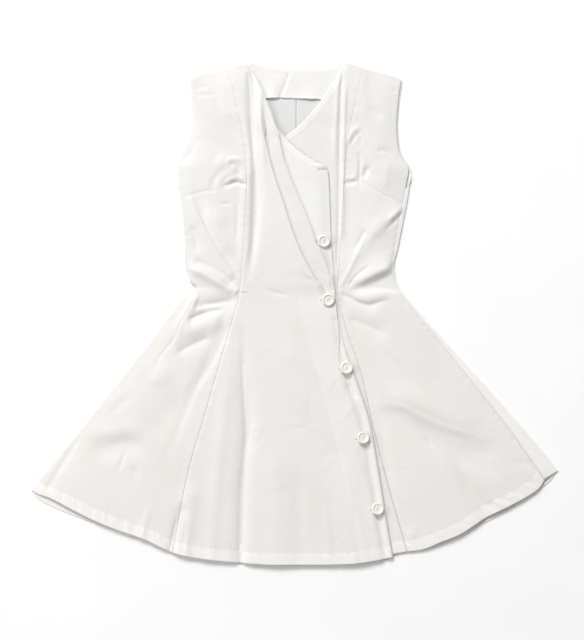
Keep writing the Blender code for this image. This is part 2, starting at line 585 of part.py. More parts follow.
def make_back_right(finish):
    """Right half of the back; its side rolls up and over to meet the side front's seam."""
    stations = grid_stations()
    plan = panel_plan(
        CENTRE_BACK, BACK_SIDE_RIGHT, TOP_BACK_RIGHT, HEM_BACK_RIGHT, stations, np.linspace(0.0, 1.0, 8)
    )
    plan = with_hem_rows(plan)
    plan = inset_sides(plan, SEAM_GAP / 2, 0.0)
    outline = plan[:, -1].copy()
    seam = long_edge(SIDE_RIGHT, stations)
    outward = outline - seam
    width = np.linalg.norm(outward, axis=-1, keepdims=True)
    outward /= width
    bend = (np.pi * np.clip((stations - ROLL_STARTS) / (ROLL_FOLDED - ROLL_STARTS), 0.0, 1.0))[:, None]
    whole_cloth = ROLL_SECTION[-1].cloth
    reach = curled(whole_cloth, bend)[0]
    reach = np.where(bend > np.pi / 2, ROLL_RADIUS, reach)
    folded = (stations >= ROLL_FOLDED)[:, None]
    steps = []
    for step in ROLL_SECTION:
        rolled = outline - outward * (step.inside + step.share * (width - SEAM_GAP / 2 - step.inside))
        top = (lay_height(rolled) + CLOTH)[:, None]
        out, up = curled(step.cloth, bend)
        curling = outline - outward * (reach - out)
        place = np.where(folded, rolled, curling)
        steps.append(np.concatenate([place, np.where(folded, step.rise * top, up)], axis=-1))
    bottom = joined(plan, 0.0)
    bottom[:, -1] = steps[0]
    points = np.concatenate([bottom, np.stack(steps[1:], axis=1)], axis=1)
    return cloth_object("back_right", points, np.zeros(points.shape[:2]), finish)


def make_back_neck_facing(finish):
    """The curved strip inside the back neck, with a free lower edge that lifts a little."""
    shares = np.linspace(0.0, 1.0, 19)
    depth = np.linspace(0.0, 1.0, 5)[:, None, None]
    neck = cross_edge(FACING_NECK, shares)[None]
    free = cross_edge(FACING_FREE, shares)[None]
    plan = (1 - depth) * neck + depth * free
    shows = smooth(1.2 - np.abs(plan[..., 0] - 2.0) / 44.0)
    lift = 1.8 * depth[..., 0] ** 3 * shows
    crease = fold_height(plan, FACING_CREASE)
    height = CLOTH + LAYER_GAP - 0.1 + lift + np.maximum(crease, 0.0)
    return cloth_object("back_neck_facing", joined(plan, height), np.zeros(plan.shape[:2]), finish)


def turned(name, profile, steps):
    """A solid of revolution about +Z from a profile of (radius, height) points in mm."""
    mesh = bpy.data.meshes.new(name)
    shape = bmesh.new()
    ring = [shape.verts.new((radius * MM, 0.0, height * MM)) for radius, height in profile]
    edges = [shape.edges.new(pair) for pair in zip(ring, ring[1:])]
    bmesh.ops.spin(
        shape, geom=ring + edges, cent=(0, 0, 0), axis=(0, 0, 1),
        angle=2 * np.pi, steps=steps, use_merge=True,
    )
    bmesh.ops.remove_doubles(shape, verts=shape.verts, dist=0.00001)
    bmesh.ops.recalc_face_normals(shape, faces=shape.faces)
    shape.to_mesh(mesh)
    shape.free()
    return mesh


def make_button(button, finish):
    """A round button with a thick rim, a round well and two holes, lying on the over-front."""
    mesh = turned(button.name, BUTTON_PROFILE, 24)
    mesh.materials.append(finish)
    body = bpy.data.objects.new(button.name, mesh)
    bpy.context.collection.objects.link(body)
    angles = np.linspace(0.0, 2 * np.pi, 16, endpoint=False)
    reach = np.array([[0.0], [0.5], [1.0]]) * BUTTON_DIAMETER / 2
    across = (reach * np.cos(angles)).reshape(-1)
    along = (reach * np.sin(angles)).reshape(-1)
    under = np.stack([button.across + across, button.along + along], axis=-1)[None]
    leaning = -across * np.tan(button.lean_along) + along * np.tan(button.lean_across)
    top_of_cloth = lay_height(under)[0] + CLOTH
    height = float((top_of_cloth - leaning).max()) + LAYER_GAP + button.lift
    body.location = (button.across * MM, button.along * MM, height * MM)
    body.rotation_euler = (button.lean_across, button.lean_along, button.turn)
    for side in (-1, 1):
        hole_name = f"{button.name}_hole_{'left' if side < 0 else 'right'}"
        cutter_mesh = turned(hole_name, HOLE_PROFILE, 10)
        cutter = bpy.data.objects.new(hole_name, cutter_mesh)
        bpy.context.collection.objects.link(cutter)
        cutter.parent = body
        cutter.location = (side * HOLE_SPACING / 2 * MM, 0.0, 0.0)
        cutter.hide_render = True
        cutter.display_type = "WIRE"
        cut = body.modifiers.new(hole_name, "BOOLEAN")
        cut.operation = "DIFFERENCE"
        cut.object = cutter
    return body


def main():
    """Clear the scene and lay out the dress."""
    for old in list(bpy.data.objects):
        bpy.data.objects.remove(old, do_unlink=True)
    make_back_left(material("back_left_cotton", (0.80, 0.80, 0.79), 0.85, 0.3))
    make_back_right(material("back_right_cotton", (0.80, 0.80, 0.79), 0.85, 0.3))
    make_back_neck_facing(material("facing_cotton", (0.86, 0.86, 0.85), 0.85, 0.3))
    make_side_front_left(material("side_front_left_cotton", (0.87, 0.87, 0.86), 0.85, 0.3))
    make_side_front_right(material("side_front_right_cotton", (0.87, 0.87, 0.86), 0.85, 0.3))
    make_front_under(material("front_under_cotton", (0.86, 0.86, 0.85), 0.85, 0.3))
    make_front_over(material("front_over_cotton", (0.88, 0.88, 0.87), 0.85, 0.3))
    for button in BUTTONS:
        make_button(button, material(f"{button.name}_plastic", (0.90, 0.89, 0.85), 0.28))


main()
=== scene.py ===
"""Looks of a sleeveless white cotton wrap dress laid flat on its back, front side up.

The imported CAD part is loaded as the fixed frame. Every cloth piece is a fine sheet on the form of
the solid that it replaces, with the creases, pleats, seams, turned hem, stitching and buttonholes
of the laid dress. Tables are in millimetres and meshes in metres. A station is a height on the
wearer: 0 shoulder, 1 underarm, 2 waist, 3 hem.
"""

import logging
import math
from collections.abc import Sequence
from dataclasses import dataclass, field
from enum import Enum
from functools import reduce

import bmesh
import bpy
import numpy as np
from mathutils import Euler, Matrix, Vector
from mathutils.bvhtree import BVHTree


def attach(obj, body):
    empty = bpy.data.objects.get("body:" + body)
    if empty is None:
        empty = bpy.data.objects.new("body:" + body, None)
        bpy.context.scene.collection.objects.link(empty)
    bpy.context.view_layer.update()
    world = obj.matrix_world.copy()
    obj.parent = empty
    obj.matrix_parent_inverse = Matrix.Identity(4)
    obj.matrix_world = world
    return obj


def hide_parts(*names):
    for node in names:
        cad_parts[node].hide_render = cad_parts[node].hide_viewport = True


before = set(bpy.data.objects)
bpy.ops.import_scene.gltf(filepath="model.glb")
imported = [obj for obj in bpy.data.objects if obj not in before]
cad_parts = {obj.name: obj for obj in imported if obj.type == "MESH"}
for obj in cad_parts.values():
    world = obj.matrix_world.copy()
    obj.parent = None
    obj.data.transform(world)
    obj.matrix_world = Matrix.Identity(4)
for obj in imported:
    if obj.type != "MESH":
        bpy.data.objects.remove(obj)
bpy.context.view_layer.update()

logging.basicConfig(level=logging.INFO, format="%(message)s")
log = logging.getLogger("dress")

# Metres in a millimetre, then sizes in millimetres; UNDERARM and HEM are stations
MM = 0.001
CLOTH = 1.0
LAYER_GAP = 0.5
WALL = 0.6
DOUBLED_RISE = 0.4
HEM_DEPTH = 20.0
HEM_STITCH_DEPTH = 18.4
HEM_ROWS = (20.6, 20.0, 19.3, HEM_STITCH_DEPTH, 17.4, 15.0, 12.0, 9.0, 6.0, 3.2, 1.4, 0.5, 0.0)
ROWS_ABOVE_HEM = 3
HEM_ROW_COUNT = ROWS_ABOVE_HEM + len(HEM_ROWS)
SEAM_GAP = 0.4
PLEAT_UNDER = 25.0
TURN = CLOTH + 0.4
UNDERARM, HEM = 1.0, 3.0
DOWN = Vector((0.0, 0.0, -1.0))

Colour = tuple[float, float, float]


class Slot(Enum):
    """Material slots of the record."""

    FRONT = "cotton_front"
    BACK = "cotton_back"
    FACING = "cotton_facing"
    BUTTON = "button_plastic"


class Edge(Enum):
    """The two long edges of a cut piece, as the viewer sees them."""

    LEFT = 0
    RIGHT = -1

    def other(self) -> "Edge":
        """The opposite edge."""
        return Edge.RIGHT if self is Edge.LEFT else Edge.LEFT


@dataclass(frozen=True)
class Place:
    """A point of a long edge at a station of the wearer."""

    station: float
    across: float
    along: float


@dataclass(frozen=True)
class Point:
    """A point seen from above."""

    across: float
    along: float


def smooth(t: np.ndarray | float) -> np.ndarray:
    """Rise from 0 to 1 with level ends, and stay level outside them."""
    t = np.clip(t, 0.0, 1.0)
    return t * t * (3.0 - 2.0 * t)


def bell(distance: np.ndarray, reach: float | np.ndarray, middle: float = 0.0) -> np.ndarray:
    """1 at the middle, sinking softly to 0 past the reach on both sides."""
    return np.exp(-(((distance - middle) / reach) ** 2))


def within(distance: np.ndarray, depth: float, step: float) -> np.ndarray:
    """1 nearer than the depth and 0 beyond it, with a soft step there."""
    return smooth((depth - distance) / step + 0.5)


def between(at: np.ndarray, starts: float, grows: float, ends: float, sinks: float) -> np.ndarray:
    """Grow from 0 to 1 after the start and sink back before the end."""
    return smooth((at - starts) / grows) * smooth((ends - at) / sinks)


def brightest(*tones: np.ndarray) -> np.ndarray:
    """The largest of several tones at each point."""
    return reduce(np.maximum, tones)


def through(knots: Sequence[float], values: np.ndarray, at: np.ndarray) -> np.ndarray:
    """A curve through the values that never swings past them (monotone cubic).

    Args:
        knots: Rising places of the values.
        values: One value per knot, or one row of values per knot.
        at: Places where the curve is wanted.

    Returns:
        The curve's values at those places, one row each.
    """
    knots = np.asarray(knots, float)
    values = np.asarray(values, float)
    flat = values.ndim == 1
    values = values[:, None] if flat else values
    step = np.diff(knots)[:, None]
    slope = np.diff(values, axis=0) / step
    tangent = np.empty_like(values)
    tangent[0], tangent[-1] = slope[0], slope[-1]
    same_way = slope[:-1] * slope[1:] > 0
    heavy, light = 2 * step[1:] + step[:-1], step[1:] + 2 * step[:-1]
    before = np.where(same_way, slope[:-1], 1.0)
    after = np.where(same_way, slope[1:], 1.0)
    tangent[1:-1] = np.where(same_way, (heavy + light) / (heavy / before + light / after), 0.0)
    cell = np.clip(np.searchsorted(knots, at, side="right") - 1, 0, len(knots) - 2)
    t = ((at - knots[cell]) / step[cell, 0])[:, None]
    rise = values[cell + 1] - values[cell]
    start, end = tangent[cell] * step[cell], tangent[cell + 1] * step[cell]
    result = values[cell] + t * start + t * t * (3 * rise - 2 * start - end)
    result = result + t**3 * (start + end - 2 * rise)
    return result[:, 0] if flat else result


def run_along(line: np.ndarray) -> np.ndarray:
    """Length of a line up to each of its points."""
    return np.concatenate([[0.0], np.cumsum(np.linalg.norm(np.diff(line, axis=0), axis=1))])


def long_edge(table: Sequence[Place], stations: np.ndarray) -> np.ndarray:
    """Plan points of a seam or side, one (across, along) row per station."""
    values = np.array([(place.across, place.along) for place in table], float)
    return through([place.station for place in table], values, stations)


def cross_edge(points: Sequence[Point], shares: np.ndarray) -> np.ndarray:
    """Plan points of a top or hem edge, one (across, along) row per share of its length."""
    line = np.array([(point.across, point.along) for point in points], float)
    run = run_along(line)
    return through(run / run[-1], line, shares)


def across_at(line: Sequence[Place | Point], along: np.ndarray) -> np.ndarray:
    """Where a line that runs down the dress lies across it at each height."""
    rows = np.array([(point.along, point.across) for point in line[::-1]], float)
    return np.interp(along, rows[:, 0], rows[:, 1])


@dataclass(frozen=True)
class Fold:
    """One crease: a ridge or, where its height is negative, a trough along a path.

    left and right are its reach to both sides of the path as it runs, and the fades are the
    shares of the path over which it rises and sinks at its ends. A crisp crease comes to a sharp
    line, and the others are rounded.
    """

    height: float
    left: float
    right: float
    fade_in: float
    fade_out: float
    path: tuple[tuple[float, float], ...]
    crisp: bool = False

    def line(self, steps: int = 20) -> tuple[np.ndarray, np.ndarray]:
        """Closely spaced points of the smooth path, and their shares of it."""
        shares = np.linspace(0.0, 1.0, steps)
        knots = np.linspace(0.0, 1.0, len(self.path))
        return through(knots, np.array(self.path, float), shares), shares

    def lift(self, points: np.ndarray, end_height: float = 0.1) -> np.ndarray:
        """How far the crease lifts or sinks the cloth.

        Args:
            points: Rows of (across, along).
            end_height: Share of the height that is left at a faded end.

        Returns:
            One height per row.
        """
        line, shares = self.line()
        power, cut_off = (1.0, 4.5) if self.crisp else (2.0, 2.6)
        reach = cut_off * max(self.left, self.right)
        low, high = line.min(axis=0) - reach, line.max(axis=0) + reach
        close = np.nonzero(((points > low) & (points < high)).all(axis=1))[0]
        result = np.zeros(len(points))
        if not len(close):
            return result
        run = np.diff(line, axis=0)
        offset = points[close][:, None, :] - line[None, :-1, :]
        t = np.clip((offset * run).sum(-1) / (run * run).sum(-1), 0.0, 1.0)
        gap = offset - t[..., None] * run
        distance = np.hypot(gap[..., 0], gap[..., 1])
        nearest = distance.argmin(axis=1)
        row = np.arange(len(close))
        side = run[nearest, 0] * gap[row, nearest, 1] - run[nearest, 1] * gap[row, nearest, 0]
        share = shares[nearest] + t[row, nearest] * shares[1]
        width = np.where(side > 0, self.left, self.right)
        lift = self.height * np.exp(-((distance[row, nearest] / width) ** power))
        for fade, from_end in ((self.fade_in, share), (self.fade_out, 1.0 - share)):
            if fade:
                lift = lift * (end_height + (1.0 - end_height) * smooth(from_end / fade))
        result[close] = lift
        return result


def places(*rows: tuple[float, float, float]) -> tuple[Place, ...]:
    """Places of a long edge, from rows of station, across and along."""
    return tuple(Place(*row) for row in rows)


def outline(*rows: tuple[float, float]) -> tuple[Point, ...]:
    """Points of an outline, from rows of across and along."""
    return tuple(Point(*row) for row in rows)


def creases(*rows: tuple) -> tuple[Fold, ...]:
    """Folds, from rows of height, reach to the left and right, fades at both ends and path."""
    return tuple(Fold(*row) for row in rows)


def total_lift(folds: Sequence[Fold], plan: np.ndarray) -> np.ndarray:
    """Sum of what all the creases do at each point of the plan."""
    points = plan.reshape(-1, 2)
    total = np.zeros(len(points))
    for fold in folds:
        total += fold.lift(points)
    return total.reshape(plan.shape[:-1])


@dataclass(frozen=True)
class Ripple:
    """Uneven small waves along a line, the same on every run."""

    seed: int
    shortest: float = 7.0
    longest: float = 19.0
    waves: int = 7
    phases: float = 6.28

    def at(self, run: np.ndarray) -> np.ndarray:
        """Height of the waves, about -1 to 1, at each length along the line."""
        rng = np.random.default_rng(self.seed)
        low, high = (self.shortest, 0.0), (self.longest, self.phases)
        total = np.zeros_like(run)
        for length, phase in rng.uniform(low, high, (self.waves, 2)):
            total = total + np.sin(2 * math.pi * run / length + phase)
        return total / math.sqrt(self.waves)


@dataclass(frozen=True)
class SoftCreases:
    """Many faint creases of handled cotton, scattered over an area and the same on every run."""

    seed: int
    count: int
    low: Point
    high: Point
    longest: float
    highest: float
    bend: float = 0.35
    step: tuple[float, float] = (0.15, 0.34)
    least_height: float = 0.3
    reach: tuple[float, float] = (3.0, 9.0)
    fade: float = 0.4

    def folds(self) -> tuple[Fold, ...]:
        """The creases, each on a short bent path of its own; two of three are troughs."""
        rng = np.random.default_rng(self.seed)
        low, high = (self.low.across, self.low.along), (self.high.across, self.high.along)
        made = []
        for _ in range(self.count):
            points = [rng.uniform(low, high)]
            heading = rng.uniform(0.0, 2 * math.pi)
            for _ in range(3):
                heading += rng.normal(0.0, self.bend)
                step = rng.uniform(*self.step) * self.longest
                points.append(points[-1] + step * np.array([math.cos(heading), math.sin(heading)]))
            height = float(rng.uniform(self.least_height, 1.0) * self.highest * rng.choice((-1.0, -1.0, 1.0)))
            left, right = map(float, rng.uniform(*self.reach, 2))
            path = tuple((float(across), float(along)) for across, along in points)
            made.append(Fold(height, left, right, self.fade, self.fade, path))
        return tuple(made)


# ---------------------------------------------------------------- long edges and seams

SIDE_LEFT = places(
    (0.00, -193, 431), (0.20, -190, 397), (0.45, -184, 352), (0.65, -182, 319), (0.82, -193, 295),
    (1.00, -214, 273), (1.12, -214, 245), (1.30, -209, 203), (1.55, -204, 147), (1.80, -203, 95),
    (1.92, -193, 62), (2.00, -181, 49), (2.06, -199, 34), (2.25, -269, -55), (2.60, -376, -189),
    (3.00, -487, -324),
)
PRINCESS_LEFT = places(
    (0.00, -121, 454), (0.25, -111, 406), (0.60, -98, 343), (0.85, -90, 295), (1.10, -88, 243),
    (1.40, -91, 182), (1.75, -96, 101), (2.00, -101, 43), (2.25, -130, -62), (2.50, -164, -180),
    (2.75, -197, -295), (3.00, -225, -440),
)
CLOSING_EDGE = places(
    (0.00, -82, 462), (0.25, -60, 412), (0.45, -43, 375), (0.62, -31, 343), (0.68, -21, 330),
    (0.74, -6, 314), (0.82, 18, 295), (0.90, 42, 280), (0.96, 58, 273), (1.02, 63, 262), (1.30, 66, 203),
    (1.60, 68, 138), (1.80, 72, 86), (2.00, 76, 40), (2.12, 83, -14), (2.22, 90, -52), (2.38, 114, -120),
    (2.55, 139, -196), (2.72, 154, -277), (2.88, 167, -358), (3.00, 182, -448),
)
UNDER_EDGE = places(
    (0.00, 91, 462), (0.30, 53, 401), (0.55, 12, 352), (0.75, -23, 323), (0.95, -53, 290), (1.10, -62, 249),
    (1.60, -64, 129), (2.00, -66, 42), (2.25, -82, -66), (3.00, -147, -439),
)
PRINCESS_RIGHT = places(
    (0.00, 127, 454), (0.25, 116, 408), (0.60, 102, 343), (0.85, 95, 291), (1.10, 92, 243), (1.40, 89, 182),
    (1.75, 84, 101), (2.00, 80, 40), (2.15, 97, -29), (2.30, 123, -106), (2.50, 146, -206),
    (2.75, 175, -319), (3.00, 209, -438),
)
SIDE_RIGHT = places(
    (0.00, 197, 431), (0.25, 192, 397), (0.60, 189, 345), (0.80, 192, 308), (0.90, 199, 290),
    (1.00, 211, 269), (1.12, 207, 243), (1.30, 199, 201), (1.45, 192, 166), (1.65, 185, 123),
    (1.82, 180, 88), (1.92, 183, 66), (2.00, 188, 53), (2.25, 262, -42), (2.50, 335, -134),
    (2.75, 401, -219), (3.00, 461, -306),
)
BACK_SIDE_LEFT = places(
    (0.00, -196, 431), (0.20, -192, 395), (0.45, -190, 352), (0.65, -198, 319), (0.82, -210, 293),
    (1.00, -217, 273), (1.12, -216, 245),
) + SIDE_LEFT[7:]
BACK_SIDE_RIGHT = places(
    (0.00, 200, 430), (0.25, 195, 397), (0.60, 191, 345), (0.80, 195, 304), (0.90, 204, 284),
    (1.00, 216, 265), (1.12, 214, 243), (1.30, 207, 201), (1.45, 200, 166), (1.65, 192, 125),
    (1.82, 184, 88), (1.92, 186, 66), (2.00, 192, 52), (2.25, 271, -43), (2.50, 351, -132),
    (2.75, 424, -214), (3.00, 487, -289),
)
CENTRE_BACK = places(
    (0.00, 4, 451), (1.00, 3, 262), (2.00, 2, 42), (3.00, 5, -454),
)

# ---------------------------------------------------------------- top and hem edges

TOP_SIDE_LEFT = outline((-193, 431), (-184, 439), (-167, 444), (-145, 449), (-121, 454))
TOP_OVER = outline((-121, 454), (-101, 459), (-82, 462))
TOP_UNDER = outline((91, 462), (106, 459), (127, 454))
TOP_SIDE_RIGHT = outline((127, 454), (145, 449), (166, 444), (188, 437), (197, 431))
TOP_BACK_LEFT = outline(
    (-196, 431), (-186, 439), (-167, 444), (-123, 455), (-101, 461), (-82, 464), (-68, 460), (-45, 456),
    (-23, 453), (4, 451),
)
TOP_BACK_RIGHT = outline(
    (4, 451), (43, 452), (66, 455), (77, 458), (91, 464), (121, 457), (166, 445), (188, 438), (200, 430),
)
HEM_SIDE_LEFT = outline(
    (-487, -324), (-478, -330), (-452, -339), (-415, -358), (-364, -383), (-318, -401), (-277, -415),
    (-244, -431), (-225, -440),
)
HEM_OVER = outline(
    (-225, -440), (-197, -447), (-171, -451), (-127, -456), (-82, -460), (-36, -462), (47, -462),
    (93, -461), (140, -456), (182, -448),
)
HEM_UNDER = outline((-147, -439), (-60, -447), (47, -451), (140, -448), (209, -438))
HEM_SIDE_RIGHT = outline(
    (209, -438), (232, -435), (273, -419), (301, -408), (352, -376), (402, -351), (436, -332), (454, -318),
    (461, -306),
)
HEM_BACK_LEFT = outline(
    (-487, -324), (-478, -338), (-438, -360), (-393, -378), (-304, -408), (-216, -437), (-156, -447),
    (-82, -452), (5, -454),
)
HEM_BACK_RIGHT = outline(
    (5, -454), (84, -452), (149, -445), (206, -434), (251, -425), (295, -410), (384, -369), (428, -339),
    (473, -308), (487, -289),
)
FACING_NECK = outline(
    (-100, 459), (-82, 462), (-68, 458), (-45, 454), (-23, 451), (4, 449), (43, 450), (66, 453), (77, 456),
    (91, 462), (107, 459),
)
FACING_FREE = outline(
    (-112, 453), (-100, 424), (-80, 406), (-55, 399), (-29, 400), (0, 399), (30, 398), (56, 397), (84, 404),
    (106, 424), (120, 453),
)
FACING_CREASE = Fold(-2.6, 1.5, 6.0, 0.25, 0.0, ((-9, 449), (-15, 428), (-26, 400)), True)

# The free edge of the over-front's facing, which shows as a change of tone through the cloth
FACING_TONE = outline(
    (-68, 267), (-53, 208), (-27, 178), (-8, 138), (5, 106), (5, 18), (14, -10), (29, -60), (62, -177),
    (79, -238), (97, -330), (112, -440),
)

# ---------------------------------------------------------------- creases

LARGE_FOLDS = creases(
    # beside the princess seams
    (-2.4, 11, 13, 0.2, 0.3, ((-81, 452), (-78, 385), (-74, 320), (-67, 255), (-76, 150), (-82, 88))),
    (2.2, 12, 9, 0.2, 0.3, ((-92, 300), (-90, 230), (-92, 150), (-97, 70))),
    (2.4, 11, 10, 0.2, 0.2, ((86, 452), (80, 380), (78, 325), (75, 265))),
    (-2.0, 9, 9, 0.2, 0.2, ((99, 330), (99, 240), (96, 150), (88, 80))),
    # left bust
    (3.2, 14, 20, 0.3, 0.3, ((-150, 290), (-122, 277), (-98, 270))),
    (-1.8, 12, 10, 0.2, 0.2, ((-186, 250), (-170, 195), (-153, 156), (-134, 120), (-106, 70))),
    (2.6, 18, 14, 0.3, 0.3, ((-150, 205), (-140, 150), (-120, 100))),
    (-1.5, 12, 12, 0.3, 0.3, ((-196, 165), (-184, 140), (-174, 112))),
    (4.0, 13, 11, 0.05, 0.3, ((-201, 90), (-176, 80), (-158, 74), (-138, 60), (-124, 46))),
    # left waist and hip
    (-3.6, 15, 13, 0.1, 0.2, ((-186, 22), (-158, 14), (-128, 21), (-104, 26))),
    (3.0, 14, 7, 0.2, 0.35, ((-186, 42), (-193, 20), (-204, -4), (-215, -24), (-219, -62))),
    (-2.4, 11, 13, 0.2, 0.2, ((-198, -8), (-178, -4), (-157, 6))),
    (-2.5, 13, 15, 0.2, 0.2, ((-220, -74), (-199, -61), (-173, -48), (-150, -40))),
    (3.0, 14, 16, 0.2, 0.3, ((-212, -40), (-180, -24), (-150, -14), (-128, -12))),
    (1.6, 14, 16, 0.2, 0.3, ((-228, -92), (-250, -115), (-262, -130))),
    (-2.6, 26, 34, 0.3, 0.3, ((-190, -130), (-232, -185), (-282, -232))),
    (-3.2, 18, 18, 0.3, 0.3, ((-389, -246), (-347, -252), (-312, -243), (-276, -262))),
    (-3.2, 12, 9, 0.2, 0.0, ((-204, -345), (-216, -390), (-229, -442))),
    (3.0, 14, 16, 0.3, 0.0, ((-186, -300), (-196, -370), (-206, -450))),
    # centre skirt
    (-3.8, 13, 15, 0.35, 0.0, ((-95, -40), (-87, -160), (-85, -215), (-93, -275), (-100, -470))),
    (1.3, 24, 24, 0.3, 0.3, ((-51, -60), (-8, -72), (38, -102), (70, -128), (100, -150))),
    (2.2, 30, 26, 0.3, 0.0, ((-40, -230), (-34, -340), (-30, -470))),
    (2.6, 22, 26, 0.3, 0.0, ((92, -240), (104, -350), (118, -465))),
    # right bust
    (-1.6, 13, 10, 0.5, 0.4, ((128, 395), (147, 374), (168, 357))),
    (2.8, 12, 14, 0.2, 0.3, ((97, 316), (106, 338), (123, 350))),
    (-1.6, 13, 14, 0.2, 0.3, ((137, 270), (129, 250), (121, 228))),
    (1.2, 20, 18, 0.3, 0.3, ((171, 288), (168, 258), (164, 226))),
    (3.4, 12, 18, 0.1, 0.2, ((203, 198), (171, 172), (140, 146), (117, 112), (90, 60))),
    (-2.4, 10, 10, 0.2, 0.2, ((134, 158), (120, 138), (106, 116))),
    # right waist: the deep hollow between two sharp folds, and the hip folds under it
    (-7.4, 25, 9, 0.25, 0.0, ((98, 46), (128, 50), (156, 52), (192, 53))),
    (5.6, 18, 17, 0.25, 0.0, ((100, 54), (126, 69), (150, 81), (190, 97))),
    (1.8, 9, 8, 0.2, 0.3, ((96, 32), (128, 29), (160, 36), (176, 40))),
    (-3.0, 6, 13, 0.1, 0.3, ((86, 36), (102, 30), (136, 17), (160, 24))),
    (-2.4, 14, 18, 0.2, 0.3, ((98, -8), (125, -16), (149, -27), (175, -45))),
    (-4.4, 20, 30, 0.2, 0.3, ((138, -186), (176, -192), (224, -216), (330, -260), (392, -264))),
    (3.6, 26, 18, 0.3, 0.3, ((160, -140), (224, -160), (290, -190), (350, -212))),
    (-3.0, 14, 12, 0.3, 0.0, ((292, -268), (325, -323), (345, -350), (358, -382))),
    (2.4, 14, 14, 0.2, 0.0, ((214, -385), (216, -415), (218, -440))),
)
